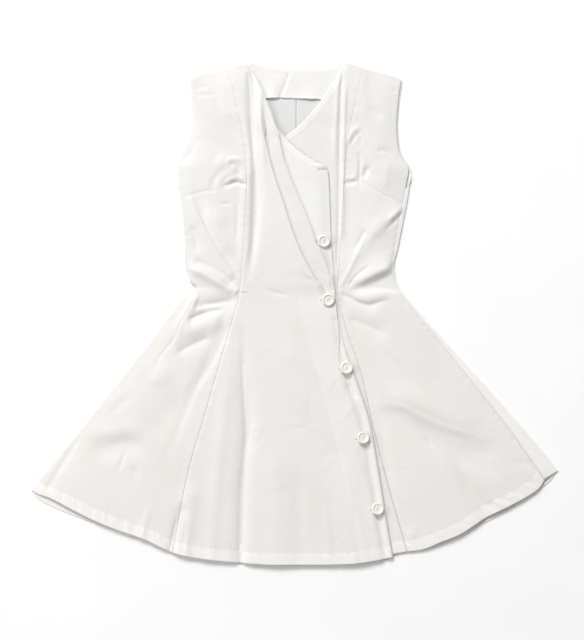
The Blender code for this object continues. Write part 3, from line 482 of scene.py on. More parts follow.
FINE_FOLDS = creases(
    # beside the left princess seam
    (-2.1, 6, 8, 0.1, 0.2, ((-82, 458), (-79, 389), (-75, 338), (-72, 297), (-66, 265))),
    (-1.7, 6, 8, 0.2, 0.3, ((-75, 267), (-77, 193), (-77, 123), (-86, 64))),
    (1, 4, 4, 0.2, 0.2, ((-100, 406), (-89, 351), (-82, 277), (-83, 156), (-93, 73))),
    (-1.3, 3, 5, 0.3, 0.3, ((-105, 212), (-105, 171), (-106, 130))),
    # left armhole and bust
    (-1, 3, 4, 0.2, 0.3, ((-188, 421), (-175, 419), (-158, 423))),
    (-1, 3, 3, 0.2, 0.3, ((-184, 406), (-164, 405), (-142, 408))),
    (2.2, 4, 3, 0.3, 0.3, ((-127, 280), (-117, 286), (-105, 286), (-93, 271))),
    (-2, 3, 4, 0.3, 0.3, ((-121, 273), (-112, 277), (-101, 265))),
    (-2.4, 2.5, 3, 0.25, 0.1, ((-130, 232), (-118, 239), (-107, 243), (-97, 241), (-88, 237))),
    (1.8, 4, 3, 0.3, 0.2, ((-130, 241), (-117, 249), (-106, 252), (-90, 248))),
    (-1.2, 1.8, 1.8, 0.05, 0.2, ((-206, 217), (-186, 222), (-167, 227), (-140, 230))),
    (-1.3, 3, 3, 0.3, 0.3, ((-138, 206), (-127, 204), (-117, 206))),
    (-1.5, 4, 6, 0.3, 0.4, ((-197, 167), (-190, 160), (-182, 143), (-180, 121), (-173, 112))),
    (1.6, 6, 6, 0.3, 0.3, ((-164, 201), (-153, 164), (-134, 127))),
    # left waist and hip
    (-1.8, 3, 5, 0.2, 0.3, ((-197, -10), (-179, -5), (-158, 5))),
    (-1.4, 5, 6, 0.2, 0.3, ((-221, -75), (-199, -62), (-173, -49), (-151, -42))),
    # left skirt
    (-0.7, 9, 8, 0.3, 0.3, ((-389, -236), (-347, -241), (-312, -234), (-278, -253))),
    (-1.2, 4, 4, 0.3, 0.3, ((-312, -253), (-319, -273), (-325, -291))),
    (-1.2, 12, 12, 0.4, 0.4, ((-304, -291), (-293, -291), (-280, -290))),
    (-1.4, 7, 6, 0.2, 0.1, ((-393, -217), (-415, -253), (-436, -288), (-462, -332))),
    (-1.6, 5, 3, 0.3, 0, ((-216, -371), (-223, -402), (-230, -434))),
    (-1.6, 4, 4, 0.3, 0, ((-199, -388), (-203, -410), (-208, -441))),
    (1, 6, 6, 0.3, 0, ((-267, -352), (-275, -384), (-282, -413))),
    (-1, 8, 8, 0.4, 0.4, ((-351, -195), (-323, -167), (-290, -143))),
    # centre front and skirt
    (-2, 5, 5, 0.3, 0, ((-87, -140), (-84, -210), (-93, -271), (-99, -356), (-100, -462))),
    (-0.9, 4, 5, 0.3, 0.3, ((-95, -14), (-92, -66), (-88, -121))),
    (0.3, 8, 10, 0.3, 0.3, ((-51, -60), (-8, -71), (38, -101), (69, -127), (110, -154))),
    (-1.6, 6, 6, 0.2, 0.3, ((73, 1), (79, -32), (86, -77))),
    (-2.2, 5, 6, 0.3, 0.3, ((95, -127), (105, -142), (117, -156))),
    (-1.2, 8, 6, 0.3, 0.3, ((116, -240), (129, -273), (138, -306))),
    (-0.8, 10, 10, 0.3, 0, ((10, -260), (8, -362), (10, -454))),
    (-1, 5, 6, 0.3, 0, ((106, -352), (114, -402), (121, -458))),
    (0.8, 7, 7, 0.3, 0, ((56, -343), (62, -399), (66, -458))),
    (-1.3, 4, 4, 0.3, 0.3, ((-77, 73), (-45, 42), (-5, 34))),
    # beside the right princess seam
    (1.3, 3, 4, 0.1, 0.3, ((88, 454), (79, 410), (78, 378), (75, 327), (74, 265))),
    (-1.8, 3, 3, 0.2, 0.2, ((90, 399), (87, 347), (83, 304), (82, 230), (81, 151), (75, 82))),
    # right bust
    (-0.9, 4, 4, 0.5, 0.4, ((129, 395), (147, 375), (167, 358))),
    (-1, 3, 3, 0.3, 0.3, ((167, 423), (182, 412), (193, 415))),
    (1.7, 3, 4, 0.2, 0.3, ((97, 315), (106, 336), (123, 349))),
    (-1.4, 3, 3, 0.3, 0.3, ((103, 312), (112, 328), (127, 339))),
    (-1.6, 3, 3, 0.3, 0.3, ((117, 330), (122, 321), (125, 310))),
    (-2.2, 3, 4, 0.2, 0.3, ((116, 301), (122, 282), (120, 253), (120, 230))),
    (-2.0, 2.5, 3, 0.1, 0.3, ((92, 242), (103, 243), (116, 247))),
    (1.3, 3, 3, 0.2, 0.3, ((93, 251), (105, 252), (116, 256))),
    (-1.2, 1.8, 1.8, 0.2, 0.05, ((129, 243), (147, 232), (164, 221), (180, 214), (201, 202))),
    (-2.9, 5, 6, 0.3, 0.3, ((140, 275), (132, 262), (125, 247))),
    (0.8, 7, 6, 0.3, 0.3, ((171, 286), (169, 256), (166, 225))),
    (-1.6, 5, 5, 0.3, 0.3, ((151, 304), (166, 301), (184, 286))),
    # right waist
    (2.6, 4, 6, 0.1, 0.3, ((201, 197), (186, 184), (171, 171))),
    (-1.8, 4, 5, 0.1, 0.3, ((199, 186), (184, 171), (166, 153))),
    (1.7, 4, 4, 0.3, 0.2, ((136, 158), (117, 114), (97, 73), (82, 47))),
    (-1.7, 3, 3, 0.3, 0.3, ((132, 158), (122, 138), (108, 116))),
    (-1.8, 3, 3, 0.3, 0.2, ((143, 93), (117, 73), (97, 49))),
    (-1.6, 3, 5, 0.1, 0.2, ((82, 38), (101, 32), (117, 23), (138, 17), (158, 23), (173, 27))),
    (-1.2, 5, 6, 0.2, 0.3, ((97, -8), (125, -16), (149, -27), (175, -45))),
    # right skirt
    (-1, 8, 12, 0.2, 0.3, ((138, -173), (199, -184), (223, -201), (251, -214), (297, -228), (354, -243),
                           (389, -243))),
    (1, 6, 5, 0.3, 0.3, ((143, -162), (199, -171), (232, -188), (297, -214), (354, -228))),
    (-0.9, 6, 6, 0.2, 0.1, ((291, -269), (306, -295), (325, -323), (341, -345), (354, -371))),
    (1.1, 5, 6, 0.3, 0.1, ((306, -265), (325, -295), (345, -325), (365, -349))),
    (-1.2, 4, 4, 0.3, 0.3, ((241, -225), (247, -234), (254, -245))),
    (1.5, 7, 7, 0.3, 0.3, ((208, -409), (216, -408), (225, -409))),
    (-1, 12, 14, 0.4, 0.4, ((325, -284), (362, -288), (389, -299))),
    (-0.9, 9, 9, 0.3, 0.3, ((158, -66), (195, -95), (228, -129))),
    # the trough inside the left princess seam, the long folds by the neck and the sharp creases
    (-4.2, 6, 7, 0.05, 0.35, ((-80, 452), (-77, 400), (-75, 340), (-71, 270), (-68, 200), (-74, 130),
                              (-84, 70))),
    (2.6, 5, 6, 0.1, 0.4, ((-64, 420), (-62, 360), (-58, 300), (-53, 230))),
    (-3.4, 3.0, 2.0, 0.05, 0.1, ((88, 455), (85, 400), (83, 330), (84, 265), (83, 200), (82, 140),
                                 (79, 80)), True),
    (2.3, 4, 4, 0.1, 0.1, ((94, 430), (91, 340), (90, 265), (89, 200), (86, 130))),
    (-3, 2.6, 4.0, 0.1, 0, ((-97, -60), (-93, -150), (-90, -230), (-92, -330), (-98, -470)), True),
    (-2.6, 1.8, 2.4, 0.05, 0.1, ((-134, 236), (-120, 241), (-107, 244), (-90, 238)), True),
    (-2.4, 1.8, 2.4, 0.05, 0.2, ((91, 242), (103, 243), (118, 247)), True),
    # the folds that fan out below the waist
    (-1.4, 2.6, 4, 0.2, 0.3, ((-184, 32), (-197, 6), (-212, -19), (-223, -47), (-249, -80),
                              (-262, -117)), True),
    (1.7, 12, 13, 0.3, 0, ((-118, -60), (-130, -180), (-143, -300), (-156, -450))),
    (-1.4, 7, 9, 0.3, 0.2, ((-118, 30), (-140, -30), (-172, -110), (-205, -190), (-235, -270))),
    (1.6, 14, 12, 0.3, 0.3, ((-384, -214), (-345, -218), (-308, -212), (-274, -228))),
    # the rolled closing edge of the skirt and the hollows beside it
    (2.6, 3.5, 3.5, 0.2, 0, ((86, -52), (110, -121), (135, -197), (150, -278), (163, -359), (178, -450))),
    (-2.6, 6, 6, 0.2, 0, ((76, -62), (99, -125), (124, -200), (139, -280), (152, -361), (167, -450))),
    (-2.0, 9, 8, 0.3, 0.3, ((112, -90), (136, -150), (157, -215), (172, -290), (188, -370))),
    # sharp waist folds and the long creases that run to them
    (4.4, 9, 7, 0.3, 0, ((104, 51), (122, 61), (141, 70), (160, 79), (180, 88))),
    (-2.6, 7, 5, 0.2, 0.1, ((-192, 98), (-166, 92), (-138, 76), (-110, 54))),
    (2.8, 4, 9, 0.1, 0.05, ((-201, 86), (-175, 78), (-151, 65), (-127, 50), (-103, 42))),
    (-1.8, 6, 5, 0.2, 0.3, ((-180, 17), (-147, 20), (-110, 27))),
    (1.6, 4, 4, 0.2, 0.3, ((-184, 6), (-158, 11), (-126, 17))),
    (-2.4, 5, 5, 0.2, 0.3, ((-193, -9), (-166, 2), (-126, 8))),
    (-2.3, 6, 9, 0.2, 0.3, ((-126, -14), (-131, -40), (-145, -72), (-163, -108), (-193, -152))),
    (2.6, 3.2, 10, 0.3, 0.1, ((-199, 240), (-183, 194), (-165, 156), (-150, 128), (-126, 92), (-108, 60))),
    (1.2, 6, 5, 0.3, 0.3, ((-170, 222), (-154, 184), (-140, 156), (-124, 126), (-106, 92))),
    (-1.0, 5, 5, 0.4, 0.4, ((-150, 220), (-152, 240), (-138, 262), (-112, 278))),
    (0.8, 4, 5, 0.3, 0.3, ((-140, 226), (-141, 240), (-130, 255), (-110, 266))),
)
FAINT_FOLDS = (
    SoftCreases(71, 46, Point(-200, 60), Point(190, 440), 44.0, 0.40).folds()
    + SoftCreases(72, 90, Point(-440, -440), Point(440, 40), 95.0, 0.42).folds()
)
BACK_FOLDS = SoftCreases(73, 90, Point(-460, -440), Point(460, 440), 90.0, 0.5).folds()

# ---------------------------------------------------------------- height of the lay


@dataclass(frozen=True)
class Lay:
    """Height of the laid dress above the back, from its rounding and its creases."""

    height: float = 7.5
    rounding: float = 26.0
    under_share: float = 0.30
    neck_top: float = 456.0
    neck_half: float = 110.0
    shoulder_slope: float = 0.22
    skirt_slant: float = 0.3
    slant_starts: float = 20.0
    slant_grows: float = 80.0
    facing_rise: float = 1.4
    facing_half: float = 145.0
    facing_bottom: float = 345.0
    large_gain: float = 1.6
    fine_gain: float = 2.2
    large: tuple[Fold, ...] = LARGE_FOLDS
    fine: tuple[Fold, ...] = FINE_FOLDS + FAINT_FOLDS

    def roundness(self, plan: np.ndarray) -> np.ndarray:
        """0 at the dress's sides and shoulders, rising to 1 inside, as laid cloth rounds over."""
        across, along = plan[..., 0], plan[..., 1]
        left, right = across_at(SIDE_LEFT, along), across_at(BACK_SIDE_RIGHT, along)
        top = self.neck_top - self.shoulder_slope * np.maximum(np.abs(across) - self.neck_half, 0.0)
        slant = 1.0 - self.skirt_slant * smooth((self.slant_starts - along) / self.slant_grows)
        share = 1.0
        for distance in ((across - left) * slant, (right - across) * slant, top - along):
            share = share * (1.0 - np.exp(-np.maximum(distance, 0.0) / self.rounding))
        return share

    def rest_level(self, plan: np.ndarray) -> np.ndarray:
        """Height of a front's inner side where it meets the back, over the facing at the neck."""
        across, along = plan[..., 0], plan[..., 1]
        beside_neck = smooth((self.facing_half - np.abs(across)) / 20.0)
        over_facing = beside_neck * smooth((along - self.facing_bottom) / 30.0)
        return CLOTH + LAYER_GAP + self.facing_rise * over_facing

    def inner_side(self, plan: np.ndarray, share: np.ndarray | float = 1.0, least: float = 0.25,
                   shown: np.ndarray | float = 1.0) -> np.ndarray:
        """Height of the under surface of a front piece's cloth.

        Args:
            plan: Points seen from above, (across, along) last.
            share: Flattens the layers that lie below others.
            least: Lift that the deepest hollow keeps above the layer below.
            shown: Share of the finer creases, 0 where another layer lies on the cloth.

        Returns:
            One height per point.
        """
        roundness = self.roundness(plan)
        large = total_lift(self.large, plan) * smooth(roundness * self.large_gain)
        fine = total_lift(self.fine, plan) * smooth(roundness * self.fine_gain)
        lifted = self.settled(self.height * roundness + large, least * roundness)
        return self.rest_level(plan) + self.settled(share * lifted + shown * fine, share * least * roundness)

    def settled(self, lifted: np.ndarray, floor: np.ndarray) -> np.ndarray:
        """Let hollows come to rest softly on a floor instead of sinking through it."""
        soft = floor + np.log1p(np.exp(np.minimum(lifted - floor, 20.0) * 2.0)) / 2.0
        return np.where(lifted < floor + 1.0, soft, lifted)


LAY = Lay()
SOLID_LAY = Lay(fine=())

# ---------------------------------------------------------------- shader groups


class Shade:
    """A node tree that is filled node by node, either a group or a material."""

    def __init__(self, tree: bpy.types.NodeTree) -> None:
        """Start on an empty or new tree."""
        self.tree = tree

    def link(self, value: bpy.types.NodeSocket, to: bpy.types.NodeSocket) -> None:
        """Link an output socket to an input socket."""
        self.tree.links.new(value, to)

    def fill(self, node: bpy.types.Node, inputs: dict) -> None:
        """Set a node's input sockets, by name or number, to values or link them to outputs."""
        for key, value in inputs.items():
            if isinstance(value, bpy.types.NodeSocket):
                self.link(value, node.inputs[key])
            else:
                node.inputs[key].default_value = value

    def node(self, kind: str, inputs: dict | None = None, **settings) -> bpy.types.Node:
        """Add a node.

        Args:
            kind: The node type's name after ShaderNode.
            inputs: Values or output sockets for its input sockets, by name or number.
            settings: Values for the node's own properties.

        Returns:
            The new node.
        """
        made = self.tree.nodes.new("ShaderNode" + kind)
        for name, value in settings.items():
            setattr(made, name, value)
        self.fill(made, inputs or {})
        return made

    def math(self, operation: str, *values: float | bpy.types.NodeSocket) -> bpy.types.NodeSocket:
        """Add a Math node on the values and return its output."""
        return self.node("Math", dict(enumerate(values)), operation=operation).outputs[0]

    def vector(self, operation: str, inputs: dict) -> bpy.types.NodeSocket:
        """Add a Vector Math node and return its output."""
        return self.node("VectorMath", inputs, operation=operation).outputs[0]

    def noise(self, place: bpy.types.NodeSocket, scale: float | bpy.types.NodeSocket, detail: float,
              roughness: float = 0.5, output: str = "Fac") -> bpy.types.NodeSocket:
        """Add a noise texture and return one of its outputs."""
        inputs = {"Vector": place, "Scale": scale, "Detail": detail, "Roughness": roughness}
        return self.node("TexNoise", inputs).outputs[output]

    def ranged(self, value: bpy.types.NodeSocket, low: float, high: float, to_low: float = 0.0,
               to_high: float = 1.0) -> bpy.types.NodeSocket:
        """Map a value smoothly from one range to another and return the output."""
        inputs = {"Value": value, "From Min": low, "From Max": high, "To Min": to_low, "To Max": to_high}
        return self.node("MapRange", inputs, interpolation_type="SMOOTHSTEP").outputs["Result"]

    def mixed(self, share: float | bpy.types.NodeSocket, first: bpy.types.NodeSocket | Colour,
              second: bpy.types.NodeSocket | Colour, blend: str = "MIX") -> bpy.types.NodeSocket:
        """Mix two colours by a share and return the output."""
        ends = [(*colour, 1.0) if isinstance(colour, tuple) else colour for colour in (first, second)]
        inputs = {0: share, 6: ends[0], 7: ends[1]}
        return self.node("Mix", inputs, data_type="RGBA", blend_type=blend).outputs[2]

    def tinted(self, share: bpy.types.NodeSocket, colour: bpy.types.NodeSocket,
               tint: Colour) -> bpy.types.NodeSocket:
        """Multiply a colour by a tint where the share says so."""
        return self.mixed(share, colour, self.mixed(1.0, colour, tint, "MULTIPLY"))

    def group(self, name: str, inputs: dict) -> bpy.types.NodeSocket:
        """Place a shared group with its values and return its output."""
        return self.node("Group", inputs, node_tree=bpy.data.node_groups[name]).outputs[0]

    def bump(self, height: bpy.types.NodeSocket, distance: float, strength: float,
             **inputs: bpy.types.NodeSocket) -> bpy.types.NodeSocket:
        """Add a Bump node and return its normal."""
        given = {"Height": height, "Distance": distance, "Strength": strength, **inputs}
        return self.node("Bump", given).outputs["Normal"]


class SharedGroups:
    """The effects that several finishes use, each built once as a shader group."""

    def start(self, name: str, inputs: dict[str, float | None],
              output: str) -> tuple[Shade, dict, bpy.types.NodeSocket]:
        """Open a new group.

        Args:
            name: Name of the group.
            inputs: Input sockets with their default values; None makes a vector.
            output: Name of its one output value.

        Returns:
            The tree, its input values by name, and the socket that takes its result.
        """
        tree = bpy.data.node_groups.new(name, "ShaderNodeTree")
        for key, value in inputs.items():
            kind = "NodeSocketVector" if value is None else "NodeSocketFloat"
            socket = tree.interface.new_socket(name=key, in_out="INPUT", socket_type=kind)
            if value is not None:
                socket.default_value = value
        tree.interface.new_socket(name=output, in_out="OUTPUT", socket_type="NodeSocketFloat")
        entry, result = tree.nodes.new("NodeGroupInput"), tree.nodes.new("NodeGroupOutput")
        return Shade(tree), entry.outputs, result.inputs[output]

    def plain_weave(self) -> None:
        """Over-and-under threads of a plain weave, as a height, a little irregular."""
        inputs = {"Vector": None, "Threads": 2200.0, "Uneven": 0.25}
        shade, given, out = self.start("plain_weave", inputs, "Height")
        sway = shade.noise(given["Vector"], 160.0, 1.0, output="Color")
        centred = shade.vector("SUBTRACT", {0: sway, 1: (0.5, 0.5, 0.5)})
        moved = shade.vector("SCALE", {0: centred, "Scale": 0.0012})
        parts = shade.node("SeparateXYZ", {0: shade.vector("ADD", {0: given["Vector"], 1: moved})}).outputs
        warp, weft = (shade.math("SINE", shade.math("MULTIPLY", parts[axis], given["Threads"]))
                      for axis in (0, 1))
        woven = shade.math("MULTIPLY_ADD", shade.math("MULTIPLY", warp, weft), 0.4, 0.5)
        rough = shade.math("MULTIPLY", shade.noise(given["Vector"], 900.0, 0.0), given["Uneven"])
        shade.link(shade.math("ADD", woven, rough), out)

    def slub(self) -> None:
        """Thicker and thinner stretches of the yarns, along both thread directions."""
        shade, given, out = self.start("slub", {"Vector": None, "Fineness": 1.0}, "Height")
        ways = []
        for stretch in ((52.0, 1500.0, 52.0), (1300.0, 46.0, 52.0)):
            scaled = shade.vector("MULTIPLY", {0: given["Vector"], 1: stretch})
            ways.append(shade.ranged(shade.noise(scaled, given["Fineness"], 2.0), 0.52, 0.74))
        shade.link(shade.math("MAXIMUM", *ways), out)

    def rumple(self) -> None:
        """Faint sharp creases of worn, unpressed cotton, as a height."""
        shade, given, out = self.start("rumple", {"Vector": None, "Scale": 42.0, "Sharpness": 0.16}, "Height")
        bend = shade.noise(given["Vector"], 12.0, 1.0, output="Color")
        moved = shade.vector("SCALE", {0: bend, "Scale": 0.05})
        place = shade.vector("ADD", {0: given["Vector"], 1: moved})
        field_a = shade.noise(place, given["Scale"], 2.0, 0.45)
        away = shade.math("ABSOLUTE", shade.math("SUBTRACT", field_a, 0.5))
        ridge = shade.math("SUBTRACT", 1.0, shade.math("DIVIDE", away, given["Sharpness"]))
        ridge = shade.math("POWER", shade.math("MAXIMUM", ridge, 0.0), 1.8)
        where = shade.ranged(shade.noise(given["Vector"], 9.0, 1.0), 0.40, 0.62)
        shade.link(shade.math("MULTIPLY", ridge, where), out)

    def cloth_mottle(self) -> None:
        """Large soft patches where the cloth has yellowed or greyed."""
        shade, given, out = self.start("cloth_mottle", {"Vector": None, "Scale": 11.0}, "Mask")
        shade.link(shade.ranged(shade.noise(given["Vector"], given["Scale"], 4.0, 0.6), 0.38, 0.66), out)

    def specks(self) -> None:
        """Sparse tiny flecks in the yarn."""
        shade, given, out = self.start("specks", {"Vector": None, "Scale": 28.0, "Size": 0.014}, "Mask")
        cells = shade.node("TexVoronoi", {"Vector": given["Vector"], "Scale": given["Scale"]}).outputs
        inside = shade.math("LESS_THAN", cells["Distance"], given["Size"])
        part = shade.node("SeparateColor", {0: cells["Color"]}).outputs[0]
        shade.link(shade.math("MULTIPLY", inside, shade.math("GREATER_THAN", part, 0.93)), out)

    def build(self) -> None:
        """Make every shared group."""
        for group in (self.plain_weave, self.slub, self.rumple, self.cloth_mottle, self.specks):
            group()


# ---------------------------------------------------------------- finishes


@dataclass(frozen=True)
class Finish:
    """The material of one surface."""

    name: str

    def build(self) -> bpy.types.Material:
        """Make the material."""
        material = bpy.data.materials.new(self.name)
        material.use_nodes = True
        shade = Shade(material.node_tree)
        place = shade.node("TexCoord").outputs["Object"]
        shade.fill(material.node_tree.nodes["Principled BSDF"], self.surface(shade, place))
        return material

    def surface(self, shade: Shade, place: bpy.types.NodeSocket) -> dict:
        """Values and outputs for the surface shader's inputs.

        Args:
            shade: The material's node tree.
            place: Socket of the places on the object.

        Returns:
            The inputs by name.
        """
        raise NotImplementedError


@dataclass(frozen=True)
class WovenCotton(Finish):
    """White plain-woven cotton; doubled cloth is brighter than single cloth."""

    single: Colour = (0.836, 0.818, 0.794)
    doubled: Colour = (0.905, 0.890, 0.869)
    cool: Colour = (0.985, 0.995, 1.0)
    aged: Colour = (0.985, 0.972, 0.965)
    slub: Colour = (0.68, 0.66, 0.63)
    slub_tone: float = 0.16
    fleck: Colour = (0.40, 0.34, 0.28)
    fleck_tone: float = 0.7
    roughness: float = 0.88
    sheen: float = 0.18
    rumple: float = 0.12

    def surface(self, shade: Shade, place: bpy.types.NodeSocket) -> dict:
        """Inputs of the surface shader: cooler on the bodice, with slubs, flecks and patches."""
        double = shade.node("Attribute", attribute_name="doubled", attribute_type="GEOMETRY").outputs["Fac"]
        bodice = shade.ranged(shade.node("SeparateXYZ", {0: place}).outputs[1], -0.06, 0.10)
        mottle = shade.group("cloth_mottle", {"Vector": place, "Scale": 11.0})
        slub = shade.group("slub", {"Vector": place, "Fineness": 1.0})
        fleck = shade.group("specks", {"Vector": place, "Scale": 28.0, "Size": 0.02})
        weave = shade.group("plain_weave", {"Vector": place, "Threads": 8400.0, "Uneven": 0.3})
        crease = shade.group("rumple", {"Vector": place, "Scale": 42.0, "Sharpness": 0.12})
        colour = shade.mixed(double, self.single, self.doubled)
        colour = shade.tinted(bodice, colour, self.cool)
        colour = shade.tinted(mottle, colour, self.aged)
        colour = shade.mixed(shade.math("MULTIPLY", slub, self.slub_tone), colour, self.slub)
        colour = shade.mixed(shade.math("MULTIPLY", fleck, self.fleck_tone), colour, self.fleck)
        woven = shade.bump(shade.math("MULTIPLY_ADD", slub, 0.5, weave), 0.00012, 0.6)
        return {
            "Base Color": colour,
            "Roughness": shade.math("MULTIPLY_ADD", weave, -0.06, self.roughness + 0.04),
            "Normal": shade.bump(crease, 0.0008, self.rumple, Normal=woven),
            "Sheen Weight": self.sheen,
            "Sheen Roughness": 0.6,
            "Specular IOR Level": 0.25,
        }


@dataclass(frozen=True)
class SewingThread(Finish):
    """Twisted sewing thread."""

    colour: Colour = (0.80, 0.79, 0.76)
    shadow: Colour = (0.60, 0.58, 0.54)
    twist: float = 2600.0

    def surface(self, shade: Shade, place: bpy.types.NodeSocket) -> dict:
        """Inputs of the surface shader: slanting plies with a little noise."""
        parts = shade.node("SeparateXYZ", {0: place}).outputs
        slanted = shade.math("MULTIPLY", shade.math("ADD", parts[0], parts[1]), self.twist)
        ply = shade.math("MULTIPLY_ADD", shade.math("SINE", slanted), 0.5, 0.5)
        dark = shade.math("MULTIPLY", ply, shade.noise(place, 300.0, 1.0))
        return {
            "Base Color": shade.mixed(dark, self.colour, self.shadow),
            "Roughness": shade.math("MULTIPLY_ADD", ply, -0.15, 0.7),
            "Normal": shade.bump(ply, 0.00008, 0.6),
            "Sheen Weight": 0.2,
        }


@dataclass(frozen=True)
class PolishedPlastic(Finish):
    """Cast and polished ivory button plastic, with faint cloudy depth and fine wear."""

    body: Colour = (0.845, 0.825, 0.765)
    cloud: Colour = (0.905, 0.895, 0.855)
    roughness: float = 0.22
    wear: float = 0.16

    def surface(self, shade: Shade, place: bpy.types.NodeSocket) -> dict:
        """Inputs of the surface shader: cloudy body, scuffed polish and a clear coat."""
        mottle = shade.group("cloth_mottle", {"Vector": place, "Scale": 130.0})
        scuff = shade.noise(place, 900.0, 3.0)
        return {
            "Base Color": shade.mixed(mottle, self.body, self.cloud),
            "Roughness": shade.ranged(scuff, 0.35, 0.75, self.roughness, self.roughness + self.wear),
            "Normal": shade.bump(scuff, 0.00002, 0.4),
            "IOR": 1.5,
            "Coat Weight": 0.35,
            "Coat Roughness": 0.12,
        }


@dataclass(frozen=True)
class PaleFloor(Finish):
    """Plain matt white floor."""

    colour: Colour = (0.97, 0.97, 0.97)
    bright: Colour = (0.985, 0.985, 0.985)

    def surface(self, shade: Shade, place: bpy.types.NodeSocket) -> dict:
        """Inputs of the surface shader."""
        grain = shade.ranged(shade.noise(place, 6.0, 2.0), 0.3, 0.7)
        return {
            "Base Color": shade.mixed(grain, self.colour, self.bright),
            "Roughness": 0.95,
            "Specular IOR Level": 0.0,
        }


# ---------------------------------------------------------------- laying out a piece of cloth


def row_stations(counts: Sequence[int]) -> np.ndarray:
    """Stations of a grid's rows, from counts of rows to the underarm, the waist and the hem."""
    rows = [np.linspace(start, start + 1.0, count, endpoint=False) for start, count in enumerate(counts)]
    return np.concatenate(rows + [[HEM]])


def panel_plan(left: Sequence[Place], right: Sequence[Place], top: Sequence[Point], hem: Sequence[Point],
               stations: np.ndarray, shares: np.ndarray) -> np.ndarray:
    """Plan points of a piece between two long edges, a top edge and a hem edge.

    Args:
        left: Long edge on the viewer's left.
        right: Long edge on the viewer's right.
        top: Top edge from left to right.
        hem: Hem edge from left to right.
        stations: Stations of the rows.
        shares: Shares of the columns across the piece.

    Returns:
        Rows of columns of (across, along).
    """
    left_points = long_edge(left, stations)[:, None, :]
    right_points = long_edge(right, stations)[:, None, :]
    across = shares[None, :, None]
    plan = (1 - across) * left_points + across * right_points
    down = ((stations - stations[0]) / (stations[-1] - stations[0]))[:, None, None]
    top_bow = smooth(1.0 - down * 4.0) * (cross_edge(top, shares) - plan[0])
    hem_bow = smooth(down * 1.25 - 0.25) * (cross_edge(hem, shares) - plan[-1])
    return plan + top_bow + hem_bow


def with_hem_rows(plan: np.ndarray) -> np.ndarray:
    """Slide the last rows so that they follow the turned hem and its stitch line."""
    start, edge = plan[-HEM_ROW_COUNT - 1].copy(), plan[-1].copy()
    length = np.linalg.norm(start - edge, axis=-1)
    left_over = HEM_ROWS[0] + 1.2 - length
    distances = [length + left_over * (index + 1) / ROWS_ABOVE_HEM for index in range(ROWS_ABOVE_HEM)]
    distances += [np.minimum(depth, length) for depth in HEM_ROWS]
    for index, distance in enumerate(distances):
        plan[index - HEM_ROW_COUNT] = edge + (start - edge) * (distance / length)[:, None]
    return plan


def hem_stitch_line(plan: np.ndarray) -> np.ndarray:
    """Plan points of the hem's stitch line."""
    low, _ = from_hem(plan)
    row = np.abs(low[-HEM_ROW_COUNT:].mean(axis=1) - HEM_STITCH_DEPTH).argmin()
    return plan[int(row) - HEM_ROW_COUNT]


def joined(plan: np.ndarray, height: np.ndarray | float) -> np.ndarray:
    """Rows of columns of (across, along, height)."""
    return np.concatenate([plan, np.broadcast_to(height, plan.shape[:2])[..., None]], axis=-1)


def from_edge(plan: np.ndarray, edge: Edge) -> tuple[np.ndarray, np.ndarray]:
    """Distance of each point from a long edge, and its run along that edge."""
    line = plan[:, edge.value]
    way = np.gradient(line, axis=0)
    way /= np.linalg.norm(way, axis=-1, keepdims=True)
    offset = plan - line[:, None]
    distance = np.abs(way[:, None, 0] * offset[..., 1] - way[:, None, 1] * offset[..., 0])
    return distance, run_along(line)[:, None] + (offset * way[:, None]).sum(-1)


def from_hem(plan: np.ndarray) -> tuple[np.ndarray, np.ndarray]:
    """Distance of each point from the hem edge, and its run along the hem."""
    return np.linalg.norm(plan - plan[-1:], axis=-1), np.broadcast_to(run_along(plan[-1]), plan.shape[:2])


def on_hem(distance: np.ndarray) -> np.ndarray:
    """1 on the turned hem, from the distance to its edge."""
    return within(distance, HEM_DEPTH, 0.8)


def facing_share(plan: np.ndarray) -> np.ndarray:
    """1 where the over-front lies on its facing, to the right of the facing's free edge."""
    return within(across_at(FACING_TONE, plan[..., 1]) - plan[..., 0], 0.0, 2.5)


@dataclass(frozen=True)
class SeamRelief:
    """A pressed seam: a fine groove, the allowance under it and the puckers of its stitching."""

    seed: int
    groove: float = 0.05
    groove_reach: float = 1.2
    allowance: float = 11.0
    allowance_rise: float = 0.18
    pucker: float = 0.18
    tone: float = 0.08

    def height(self, distance: np.ndarray, run: np.ndarray) -> np.ndarray:
        """Lift of the cloth beside the seam."""
        pressed = smooth(distance / 2.5) * smooth((self.allowance - distance) / 2.0)
        waves = Ripple(self.seed, 11.0, 38.0).at(run) * bell(distance, 5.0, 3.0)
        groove = self.groove * bell(distance, self.groove_reach)
        return self.allowance_rise * pressed + self.pucker * waves - groove

    def doubled(self, distance: np.ndarray) -> np.ndarray:
        """Faint tone of the allowance through the cloth."""
        return self.tone * smooth((10.0 - distance) / 2.0)


@dataclass(frozen=True)
class HemRelief:
    """The turned and stitched hem: double cloth, a stitch groove and uneven puckers."""

    seed: int
    pucker: float = 0.52
    tick: float = 0.34
    edge: float = 0.35
    groove: float = 0.22

    def height(self, distance: np.ndarray, run: np.ndarray) -> np.ndarray:
        """Lift of the cloth near the hem."""
        reach = np.where(distance < HEM_STITCH_DEPTH, 15.0, 7.0)
        waves = Ripple(self.seed, 9.0, 34.0, 9).at(run + 0.55 * distance) * bell(distance, reach, 15.0)
        ticks = Ripple(self.seed + 1, 4.5, 10.0, 6).at(run) * bell(distance, 4.5, HEM_STITCH_DEPTH)
        sunk = self.edge * bell(distance, 0.9) + self.groove * bell(distance, 1.0, HEM_STITCH_DEPTH)
        return DOUBLED_RISE * on_hem(distance) - sunk + self.pucker * waves + self.tick * ticks


